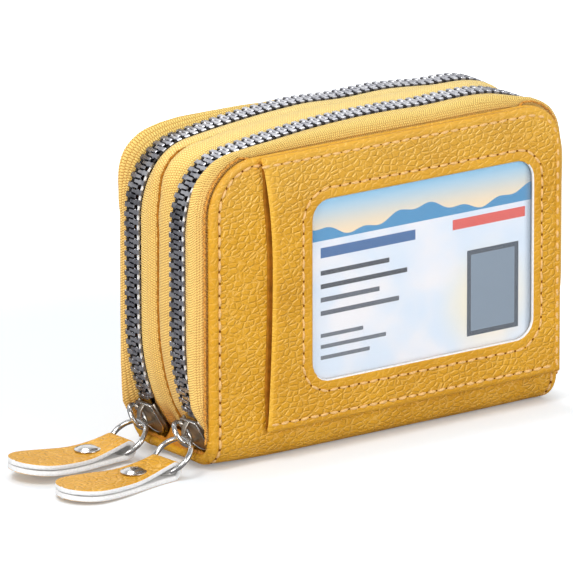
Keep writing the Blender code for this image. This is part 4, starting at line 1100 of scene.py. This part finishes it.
def panel_loop(inset):
    """The pocket panel's outline moved in, as a loop from its lower left corner up."""
    foot = PANEL_FOOT + inset
    top, right = inset * edge_share(Vector((0.0, 1.0))), inset * edge_share(Vector((1.0, 0.0)))
    rise = COVER_TOP - top - foot
    left = [(panel_left(foot + rise * k / 40) + inset, foot + rise * k / 40) for k in range(41)]
    x_from, z_from = COVER_HALF - COVER_CORNER, COVER_TOP - COVER_CORNER
    bend = []
    for k in range(17):
        angle = 0.5 * math.pi * (1 - k / 16)
        x = x_from + (COVER_CORNER - right) * math.cos(angle)
        z = z_from + (COVER_CORNER - top) * math.sin(angle)
        bend.append((x - 0.6 * ease((x - x_from) / COVER_CORNER), z))
    end = (COVER_HALF - 0.6 - right, foot)
    return close_loop(left, [left[-1], *bend[:9]], [*bend[8:], end], [end, left[0]])


def window_loop(grow=0.0):
    left, right, foot, top, radius = WINDOW
    left, right, foot, top, radius = left - grow, right + grow, foot - grow, top + grow, radius + grow
    a, b = (left + radius, foot + radius), (left + radius, top - radius)
    c, d = (right - radius, top - radius), (right - radius, foot + radius)
    sides = ((a, 225, b, 180), (b, 135, c, 90), (c, 45, d, 0), (d, -45, a, 270))
    return close_loop(*[
        [*arc(*one, radius, start, start - 45), *arc(*other, radius, end, end - 45)]
        for one, start, other, end in sides
    ])


def side_share(k):
    """How much a station of the panel's outline belongs to its left side, and to its foot."""
    start = 2 * SIDE_STEPS + SPAN_STEPS
    if k >= start:
        return 0.0, ease((k - start) / 2)
    left = ease((SIDE_STEPS - k) / 2) if k <= SIDE_STEPS else 0.0
    return (left if k > 0 else 0.5), 0.0


def panel_height(inset, left, foot):
    """Height of the panel's face over its flat, by the distance in from the outline."""
    edge = -0.55 * (1 - ease(inset / 0.9)) ** 2
    far_groove = -0.24 * math.exp(-(((inset - STITCH_INSET) / 0.42) ** 2))
    near_groove = -0.22 * math.exp(-(((inset - NEAR_STITCH_INSET) / 0.40) ** 2))
    swell = 0.10 * ease(inset / 1.4) * (1 - ease((inset - 3.5) / 1.3))
    return edge + swell + far_groove * (1 - left) * (1 - foot) + near_groove * foot


def window_height(growth):
    """The same beside the window, by the distance out from it."""
    groove = -0.20 * math.exp(-(((growth - WINDOW_STITCH_GROWTH) / 0.42) ** 2))
    return groove + 0.06 * ease(growth / 0.6) - 0.12 * (1 - ease(growth / 0.35))


def rim_share(inset, left, foot):
    wide = 1 - ease((inset - 2.0) / 1.2)
    narrow = 1 - ease((inset - 1.3) / 0.8)
    return wide * (1 - left) * (1 - foot) + narrow * max(left, foot)


def add_card_pocket(materials):
    window = window_loop()
    window_normals = normals_of(window, closed=True)
    count = len(window)
    shares = [side_share(k) for k in range(count)]

    def grown(growth):
        return [at + normal * growth for at, normal in zip(window, window_normals)]

    layers = []
    for inset in PANEL_INSETS:
        looks = [(panel_height(inset, *share), rim_share(inset, *share)) for share in shares]
        layers.append([(at, *look) for at, look in zip(panel_loop(inset), looks)])
    for growth in WINDOW_GROWTHS:
        height, smooth = window_height(growth), 1 - ease((growth - 2.3) / 0.8)
        layers.append([(at, height, smooth) for at in grown(growth)])
    cut_from = len(layers) - 1
    for growth in (0.0, 2.0, 4.2):
        layers.append([(at, -PANEL_SKIN, 1.0) for at in grown(growth)])
    hem = PANEL_FACE - PANEL_BACK - PANEL_SKIN
    for inset, full in ((2.3, 0.0), (2.0, 1.0), (0.25, 1.0)):
        heights = [-PANEL_SKIN - full * hem * (1 - left) for left, _ in shares]
        layers.append([(at, height, 1.0) for at, height in zip(panel_loop(inset), heights)])
    rows = []
    for layer in layers:
        moved = [(*shaped(*at), height) for at, height, _ in layer]
        rows.append([(x, -(PANEL_FACE + height), z) for x, z, height in moved])
    points, faces = [], []
    join_rows(points, faces, rows, wrap=True, loop=True)
    panel = add_mesh("card_pocket_leather", points, faces)
    for row in (cut_from - 2, cut_from - 1, cut_from):
        for k in range(0 if row == cut_from else SIDE_STEPS + SPAN_STEPS, count):
            panel.data.polygons[row * count + k].material_index = 1
    clean(panel)
    put_attribute(panel, "rim", [smooth for layer in layers for _, _, smooth in layer])
    pale = [left * (1 - ease((inset - 0.45) / 0.35)) for inset in PANEL_INSETS for left, _ in shares]
    put_attribute(panel, "pale", pale + [0.0] * (len(points) - len(pale)))
    leathers = (materials["leather"], materials["white_edge"])
    dress(panel, "front_cover", "leather", *leathers, nodes=["id_pocket_panel"])
    rows = []
    for step in range(31):
        z = PANEL_FOOT + 0.6 + (COVER_TOP - 3.2 - PANEL_FOOT) * step / 30
        pinch = 0.9 * (1 - ease((z - PANEL_FOOT) / 12.0)) + 0.8 * ease((z - COVER_TOP + 12.0) / 9.0)
        rows.append([(panel_left(z) - 0.65 + 1.1 * pinch + 0.9 * k, -MOUTH_Y, z) for k in range(6)])
    shade = thicken(add_solid("pocket_mouth_shade", rows), 0.06)
    dress(shade, "front_cover", "leather", materials["mouth_shade"])
    out = Vector((0.0, -1.0, 0.0))
    line = grown(WINDOW_STITCH_GROWTH)
    spots = [(Vector((p.x, -PANEL_FACE + 0.14, p.y)), out) for p in [*line, line[0]]]
    sew("window_stitches", spots, STITCH_PITCH, "front_cover", materials, radius=0.30)
    foot_z = PANEL_FOOT + NEAR_STITCH_INSET
    spots = [(Vector((x, -PANEL_FACE + 0.16, lifted(x, foot_z))), out) for x in range(-37, 53, 3)]
    sew("pocket_foot_stitches", spots, STITCH_PITCH, "front_cover", materials)


def add_window_film(materials):
    left, right, foot, top, _ = WINDOW
    x, z = 0.5 * (left + right), 0.5 * (foot + top)
    rows = []
    for share in (1.0, 0.85, 0.65, 0.45, 0.25, 0.1, 0.02):
        rows.append([(x + (p.x - x) * share, -FILM_Y, z + (p.y - z) * share) for p in window_loop(1.4)])
    film = clean(add_solid("window_sheet", rows, wrap=True), fill=0.4, turn=False)
    film.data.shade_smooth()
    dress(thicken(film, 0.16), "front_cover", "film", materials["film"], nodes=["window_film"])


# ---------------------------------------------------------------- sliders, rings, tabs and rivets


def slider_place(side):
    angle = math.asin((RUN_TOP - SLIDER_Z) / RUN_RADIUS)
    x, z = run_point(angle)
    across = Vector((0.0, -1.0, 0.0))
    along = Vector((-math.sin(angle), 0.0, math.cos(angle)))
    out = Vector((-math.cos(angle), 0.0, -math.sin(angle)))
    middle = Vector((x, side * CHAIN_Y, z)) - out * HALF_TOOTH
    return Matrix.Translation(middle) @ Matrix((across, along, out)).transposed().to_4x4()


def slider_outline():
    """Half widths of the slider's plate along its length, from its mouth to its round nose."""
    top = SLIDER_LENGTH / 2
    waist = -SLIDER_LENGTH * 0.15
    outline = [(3.3, top - 0.5), (2.9, top), (-2.9, top), (-3.3, top - 0.5)]
    for step in range(13):
        angle = math.pi * step / 12
        outline.append((-4.1 * math.cos(angle), waist - (top + waist) * math.sin(angle)))
    return outline


def slab(name, outline, low, high, place):
    """A plate between two heights in a local frame."""
    foot = [place @ Vector((u, v, low)) for u, v in outline]
    return extruded(name, foot, place.to_3x3() @ Vector((0.0, 0.0, high - low)))


def swept_strap(name, line, half_width, thickness, place):
    """A flat strap bent along points in the local YZ plane, as a closed solid."""
    rows = []
    for (v, w), normal in zip(line, normals_of(line)):
        normal = normal * thickness / 2
        corners = ((-half_width, 1), (half_width, 1), (half_width, -1), (-half_width, -1))
        rows.append([place @ Vector((u, v + normal.x * sign, w + normal.y * sign)) for u, sign in corners])
    return add_solid(name, rows, wrap=True, caps=True)


def tube(name, line, radius, around=8, closed=False):
    """A round wire along points."""
    rows = []
    for point, along in zip(line, directions_of(line, closed)):
        side = along.cross(Vector((0.31, 0.94, 0.13))).normalized()
        up = side.cross(along)
        rows.append([Vector(point) + side * radius * cos + up * radius * sin for cos, sin in circle(around)])
    return add_solid(name, rows, wrap=True, caps=not closed, loop=closed)


def wire_ring(name, centre, normal, radius, wire):
    """A ring of round wire: its section spun round the ring's axis."""
    normal = normal.normalized()
    side = normal.orthogonal().normalized()
    place = Matrix((-normal, side, side.cross(normal))).transposed().to_4x4()
    place.translation = (centre + side * radius) * MM
    bm = bmesh.new()
    section = bmesh.ops.create_circle(bm, segments=14, radius=wire * MM, matrix=place)["verts"]
    turn = {"cent": centre * MM, "axis": normal, "angle": 2 * math.pi, "steps": 56, "use_merge": True}
    bmesh.ops.spin(bm, geom=[*section, *bm.edges], **turn)
    return finish(name, bm)


def add_sliders(materials):
    outline = slider_outline()
    back = [(u * 0.70, v * 0.86) for u, v in outline]
    post = [(-0.9, -3.6), (0.9, -3.6), (0.75, -2.0), (0.0, -1.6), (-0.75, -2.0)]
    wing = [(3.05, 4.4), (3.05, 0.5), (3.75, -1.4), (3.7, -2.6), (2.9, -4.0)]
    bail_line = []
    for step in range(15):
        t = step / 14
        bail_line.append((3.9 - 6.6 * t + 0.35, 2.1 + 2.75 * math.sin(math.pi * min(t / 0.86, 1.0)) ** 0.55))
    for zone, _, side in BOTH_SIDES:
        place = slider_place(side)
        name = f"{zone}_slider"
        plate = round_edges(slab(f"{name}_plate", outline, PLATE_IN, PLATE_OUT, place), 0.28, 3)
        dress(plate, name, "nickel", materials["gunmetal"], nodes=[name])
        rim_line = [place @ Vector((u * 0.985, v * 0.985, PLATE_OUT - 0.08)) for u, v in outline]
        rim = tube(f"{name}_rim", rim_line, 0.24, closed=True)
        dress(rim, name, "nickel", materials["nickel"])
        dark = []
        for hand, end in BOTH_ENDS:
            wing_line = [place @ Vector((end * u, v, FLANGE_HEIGHT)) for u, v in wing]
            dark.append(tube(f"{name}_flange_{hand}", wing_line, 0.34))
        dark.append(round_edges(slab(f"{name}_back_plate", back, -PLATE_OUT, -PLATE_IN, place), 0.25))
        dark.append(round_edges(slab(f"{name}_post", post, -POST_REACH, POST_REACH, place), 0.15))
        dark.append(round_edges(swept_strap(f"{name}_bail", bail_line, 0.75, 0.55, place), 0.14))
        for piece in dark:
            dress(piece, name, "nickel", materials["gunmetal"])


def pull_places(zone, side):
    """The fold's seat on the floor side of the pull ring, the pull's turn, its way down and its top point."""
    top = slider_place(side).translation + PULL_TOP_OFFSET
    yaw = Matrix.Rotation(PULL_YAW[zone], 4, "Z")
    neck = PULL_RADIUS + math.sqrt(PULL_RADIUS**2 - TAB_NECK**2)
    lean = math.asin((top.z - TAB_LEATHER - TAB_CAVITY - PULL_SEAT) / neck)
    down = yaw @ Vector((-math.cos(lean), 0.0, -math.sin(lean)))
    seat = top + down * neck + yaw @ Vector((-0.1, 0.0, 0.0))
    seat.z = TAB_LEATHER + TAB_CAVITY
    return seat, yaw, down, top


def tab_half_width(x, straight):
    width = TAB_NECK + (TAB_TIP - TAB_NECK) * ease(-x / TAB_WIDENS)
    into_tip = TAB_TIP - (straight + x)
    if into_tip <= 0:
        return width
    return width * max(math.sqrt(max(1 - (into_tip / TAB_TIP) ** 2, 0.0)), 0.06)


def tab_line(straight):
    """The strip's middle line from its upper tip round the fold to its lower tip, as (x, z)."""
    low = -TAB_CAVITY - TAB_LEATHER / 2
    high = -low
    shut = low + TAB_LEATHER + TAB_GAP
    steps = [
        0.0, 0.02, 0.05, 0.09, 0.13, 0.17, 0.22, 0.28, 0.35, 0.43, 0.52,
        0.6, 0.68, 0.75, 0.81, 0.86, 0.90, 0.93, 0.955, 0.975, 0.99, 1.0,
    ]
    upper = []
    for t in steps:
        upper.append((-straight * t, shut + (high - shut) * max(1 - straight * t / TAB_CLOSES, 0.0) ** 1.5))
    turns = [math.pi * (0.5 - k / 14) for k in range(1, 14)]
    fold = [(high * math.cos(turn), high * math.sin(turn)) for turn in turns]
    return [*reversed(upper), *fold, *[(-straight * t, low) for t in steps]]


def add_pulls(materials):
    straight = TAB_LENGTH - TAB_CAVITY - TAB_LEATHER
    line = tab_line(straight)
    nickel = materials["nickel"]
    for zone, _, side in BOTH_SIDES:
        seat, yaw, down, top = pull_places(zone, side)
        outward = Vector((-0.88, -0.40, 0.26)).normalized()
        tangent = Vector((0.05, -0.62, -0.78))
        tangent = (tangent - outward * tangent.dot(outward)).normalized()
        normal = outward.cross(tangent)
        link = wire_ring(f"{zone}_link_wire", top + LINK_OFFSET, normal, LINK_RADIUS, LINK_WIRE)
        dress(link, f"{zone}_link_ring", "nickel", nickel, nodes=[f"{zone}_link_ring"])
        normal = (yaw @ Vector((0.0, 1.0, 0.0))).cross(down)
        ring = wire_ring(f"{zone}_pull_wire", top + down * PULL_RADIUS, normal, PULL_RADIUS, PULL_WIRE)
        dress(ring, f"{zone}_pull_ring", "nickel", nickel, nodes=[f"{zone}_pull_ring"])
        place = Matrix.Translation(seat + Vector((0.0, 0.0, TAB_LIFT[zone]))) @ yaw
        raised = [(x, z + TAB_RAISE[zone] * (max(-x, 0.0) / straight) ** 2) for x, z in line]
        add_tab(zone, raised, straight, place, materials)
        share = (RIVET_FROM_FOLD - TAB_CAVITY - TAB_LEATHER) / straight
        rise = 2 * (TAB_CAVITY + TAB_LEATHER / 2) - TAB_LEATHER - TAB_GAP
        rise *= (1 - share * straight / TAB_CLOSES) ** 1.5
        rise = TAB_RAISE[zone] * share * share + rise
        add_rivet(zone, place @ Matrix.Translation((0.0, 0.0, rise)), nickel)


# Section of the tab's strip as shares of its half width and half thickness: leather above, cut edge below
TAB_SKIN = (
    (-1.0, 0.78), (-0.97, 0.97), (-0.82, 1.0), (-0.4, 1.0), (0.0, 1.0),
    (0.4, 1.0), (0.82, 1.0), (0.97, 0.97), (1.0, 0.78),
)
TAB_BACK = ((1.0, 0.0), (0.985, -0.9), (0.9, -1.0), (0.0, -1.0), (-0.9, -1.0), (-0.985, -0.9), (-1.0, 0.0))


def add_tab(zone, line, straight, place, materials):
    """The folded leather strip, with white cut edges round a skin of leather."""
    half = TAB_LEATHER / 2
    rows = []
    for (x, z), normal in zip(line, normals_of(line)):
        width = tab_half_width(x, straight)
        ring = []
        for across, up in (*TAB_SKIN, *TAB_BACK):
            ring.append(place @ Vector((x + normal.x * half * up, across * width, z + normal.y * half * up)))
        rows.append(ring)
    tab = add_solid(f"{zone}_tab_leather", rows, wrap=True, caps=True)
    for polygon in tab.data.polygons:
        columns = sorted({number % len(rows[0]) for number in polygon.vertices})
        is_skin = len(columns) == 2 and columns[1] < len(TAB_SKIN) and columns[1] - columns[0] == 1
        polygon.material_index = 0 if is_skin else 1
    leathers = (materials["tab_leather"], materials["white_edge"])
    dress(tab, f"{zone}_pull_tab", "leather", *leathers, nodes=[f"{zone}_pull_tab"])


# Radius and height round the rivet's axis
RIVET_CAP = (
    (0.0, 1.0), (0.8, 0.97), (1.6, 0.86), (2.2, 0.68), (2.6, 0.46), (2.85, 0.30),
    (3.15, 0.26), (3.3, 0.18), (3.3, 0.04), (3.1, 0.0), (1.2, 0.0), (1.2, -2.0),
)
RIVET_BACK = ((0.0, 0.62), (2.3, 0.62), (2.6, 0.5), (2.6, 0.2), (2.4, 0.1), (0.0, 0.1))


def add_rivet(zone, place, metal):
    """A domed cap with a flat brim, and its flat back."""
    foot = -TAB_LEATHER - TAB_CAVITY
    for part, profile, z, nodes in (
        ("cap", RIVET_CAP, foot + 2 * TAB_LEATHER + TAB_GAP + 0.1, [f"{zone}_rivet"]),
        ("back", RIVET_BACK, foot, []),
    ):
        at = place @ Matrix.Translation((TAB_CAVITY + TAB_LEATHER - RIVET_FROM_FOLD, 0.0, z))
        bm = bmesh.new()
        line = [bm.verts.new((radius, 0.0, height)) for radius, height in profile]
        line += [bm.edges.new(ends) for ends in zip(line, line[1:])]
        turn = {"cent": (0, 0, 0), "axis": (0, 0, 1), "angle": 2 * math.pi, "steps": 40, "use_merge": True}
        bmesh.ops.spin(bm, geom=line, **turn)
        bmesh.ops.remove_doubles(bm, verts=bm.verts, dist=0.003)
        bmesh.ops.holes_fill(bm, edges=[edge for edge in bm.edges if edge.is_boundary])
        bmesh.ops.transform(bm, matrix=Matrix.Scale(MM, 4) @ at, verts=bm.verts)
        dress(finish(f"{zone}_rivet_{part}", bm), f"{zone}_pull_tab", "nickel", metal, nodes=nodes)


# ---------------------------------------------------------------- inside and bottom


def flat_panel(name, outline, y, thickness, body, slot, material, node):
    """An upright panel with broken edges."""
    face = [Vector((x, y - thickness / 2, z)) for x, z in outline]
    panel = round_edges(extruded(name, face, Vector((0.0, thickness, 0.0))), thickness * 0.35)
    return dress(panel, body, slot, material, nodes=[node])


def rounded_card(top):
    left, right, radius = -CARD_HALF + CARD_CORNER, CARD_HALF - CARD_CORNER, CARD_CORNER
    foot, top = CARD_FOOT + radius, top - radius
    corners = ((left, foot, 180), (right, foot, 270), (right, top, 0), (left, top, 90))
    return [point for x, z, start in corners for point in arc(x, z, radius, start, start + 90, 5)]


def add_inside(materials):
    lining = materials["lining"]
    for cover, side in (("front", -1), ("back", 1)):
        line = [p for p in cover_line(2.4) if p[1] > 17.5]
        half = line[-1][0]
        outline = [(6.0 - half, 5.5), (-half, 17.5), *line, (half, 17.5), (half - 6.0, 5.5)]
        name = f"{cover}_lining"
        flat_panel(name + "_cloth", outline, side * LINING_Y, CLOTH, f"{cover}_cover", "lining", lining, name)
    crest = crest_line()
    line = [tuple(Vector(p) - n * 3.0) for p, n in zip(crest, normals_of(crest))]
    line = [p for p in line if p[1] > 2.4]
    outline = [(line[0][0] + 4.0, 1.9), *line, (line[-1][0] - 4.0, 1.9)]
    leather = materials["inner_leather"]
    flat_panel("divider_panel", outline, 0.0, DIVIDER, "core", "leather", leather, "middle_divider")
    slip = rounded_card(SLIP_TOP)
    flat_panel("slip_pocket_cloth", slip, SLIP_Y, CLOTH, "core", "lining", lining, "divider_slip_pocket")
    pitch = (PARTITION_LAST_Y - PARTITION_FIRST_Y) / (PARTITIONS + 1)
    for number in range(1, PARTITIONS + 1):
        name = f"card_partition_{number}"
        y = -(PARTITION_FIRST_Y + pitch * number)
        flat_panel(name + "_cloth", rounded_card(PARTITION_TOP), y, PARTITION, name, "lining", lining, name)
    for zone, cover, side in BOTH_SIDES:
        folds = GUSSET_FOLDS[zone]
        for hand, end in BOTH_ENDS:
            rows = []
            for index in range(folds * 4 + 1):
                fold = index / 4
                y = side * (GUSSET_FROM_Y + GUSSET_DEPTH * fold / folds)
                x = end * (GUSSET_X + GUSSET_FOLD * (0.5 + 0.5 * math.cos(math.pi * fold)))
                rows.append([(x, y, GUSSET_FOOT + (GUSSET_TOP - GUSSET_FOOT) * k / 8) for k in range(9)])
            gusset = thicken(add_solid(f"{zone}_{hand}_pleats", rows), 0.2)
            gusset.data.materials.append(lining)
            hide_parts(f"{zone}_{hand}_gusset")
            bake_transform(gusset)


BOTTOM_HALF = COVER_HALF - FOLD_END_TAPER
# In from the end and height: the rolled end of the bottom leather
BOTTOM_END = (
    (0.9, LEATHER), (0.35, 1.48), (0.08, 1.2), (0.0, 0.85),
    (0.14, 0.52), (0.45, 0.22), (0.9, 0.05), (1.5, 0.0),
)


def add_bottom(materials):
    """The leather under the divider, its rolled ends, and the webs at the hinges where the covers open."""
    half, leather = BOTTOM_HALF, materials["leather"]
    left = [(-half + d, z) for d, z in BOTTOM_END]
    right = [(half - d, z) for d, z in reversed(BOTTOM_END)]
    between = [(-half + 1.5 + (2 * half - 3.0) * k / 24) for k in range(1, 24)]
    ring = [*[(x, LEATHER) for x in reversed(between)], *left, *[(x, 0.0) for x in between], *right]
    rows = [[(x, y, lifted(x, z)) for x, z in ring] for y in (-9.0, -8.6, -4.0, 0.0, 4.0, 8.6, 9.0)]
    strip = add_solid("bottom_leather", rows, wrap=True, caps=True)
    put_attribute(strip, "rim", [float(abs(v.co.x) > (half - 3.0) * MM) for v in strip.data.vertices])
    dress(strip, "core", "leather", leather, nodes=["spine"])
    for hand, end in BOTH_ENDS:
        add_bottom_lining(hand, end, materials["inner_leather"])
    for hand, end in BOTH_ENDS:
        line = [(end * (half - 0.75), 9.15 * (k / 8 - 1), lifted(end * half, 1.25)) for k in range(17)]
        rolls = [("core", tube(f"{hand}_bottom_rim", line, 1.0, around=12))]
        for _, cover, side in BOTH_SIDES:
            line = []
            for k in range(20):
                y, z = cover_surface(11.6 * k / 19, -1.25, side)
                x = end * (COVER_HALF - 0.75 - FOLD_END_TAPER * (1 - k / 19))
                line.append((x, y, lifted(end * COVER_HALF, z)))
            rolls.append((cover, tube(f"{cover}_{hand}_fold_rim", line, 1.0, around=12)))
        for body, roll in rolls:
            press_rim(roll, 1.0)
            dress(roll, body, "leather", leather)
    line = [(half - 0.2) * (k / 12 - 1) for k in range(25)]
    ring = [*[(x, 0.3) for x in line], *[(x, 1.3) for x in reversed(line)]]
    for zone, cover, side in BOTH_SIDES:
        rows = [[(x, side * (8.2 + 2.1 * step / 6), lifted(x, z)) for x, z in ring] for step in range(7)]
        web = add_solid(f"{zone}_hinge_web", rows, wrap=True, caps=True)
        press_rim(web, 1.0)
        web.data.materials.append(leather)
        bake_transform(web)


def add_bottom_lining(hand, end, material):
    """The creased leather tongue inside one end of the bottom, and the turned strips beside it."""
    half = BOTTOM_HALF
    rows = []
    for k in range(-16, 17):
        y = 8.5 * k / 16
        height = 0.7 + 4.3 * (1 - ease((abs(y) - 4.0) / 1.0))
        row = []
        for m in range(9):
            t = m / 8
            crease = 0.12 * math.sin(k * 1.3 + m * 0.9)
            row.append((end * (half - 0.4 - 2.2 * ease(t) + crease * t), y, lifted(half, 1.5) + height * t))
        rows.append(row)
    pieces = [("core", f"{hand}_bottom_tongue", rows, 0.6)]
    for body, first, last in (("front_cover", -9.0, -14.6), ("back_cover", 9.0, 14.6), ("core", -8.9, 8.9)):
        rows = []
        for k in range(25):
            y = first + (last - first) * k / 24
            crease = 0.14 * math.sin(k * 1.9)
            height = 1.9 + 2.2 * ease((abs(y) - 12.4) / 2.2) + crease
            row = []
            for t in (0.0, 0.35, 0.7, 1.0):
                x = end * (half - 0.5 - 1.1 * t - 0.2 * crease * t)
                row.append((x, y, lifted(half, 1.6) + 0.3 + height * t))
            rows.append(row)
        pieces.append((body, f"{body}_{hand}_turned_strip", rows, 0.3))
    for body, name, rows, thickness in pieces:
        piece = thicken(add_solid(name, rows), thickness)
        press_rim(piece, 0.5)
        dress(piece, body, "leather", material)


def dress_kept_nodes(materials):
    for name, key in (
        ("insert_card", "card"), ("front_board", "board"), ("back_board", "board"),
        ("front_bottom_stop", "gunmetal"), ("rear_bottom_stop", "gunmetal"),
    ):
        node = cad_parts[name]
        node.data.materials.clear()
        node.data.materials.append(materials[key])


def build():
    point_camera()
    light_scene()
    lay_floor()
    materials = make_materials()
    add_tapes(materials)
    add_teeth(materials)
    add_covers(materials)
    add_card_pocket(materials)
    add_window_film(materials)
    add_sliders(materials)
    add_pulls(materials)
    add_inside(materials)
    add_bottom(materials)
    dress_kept_nodes(materials)


build()
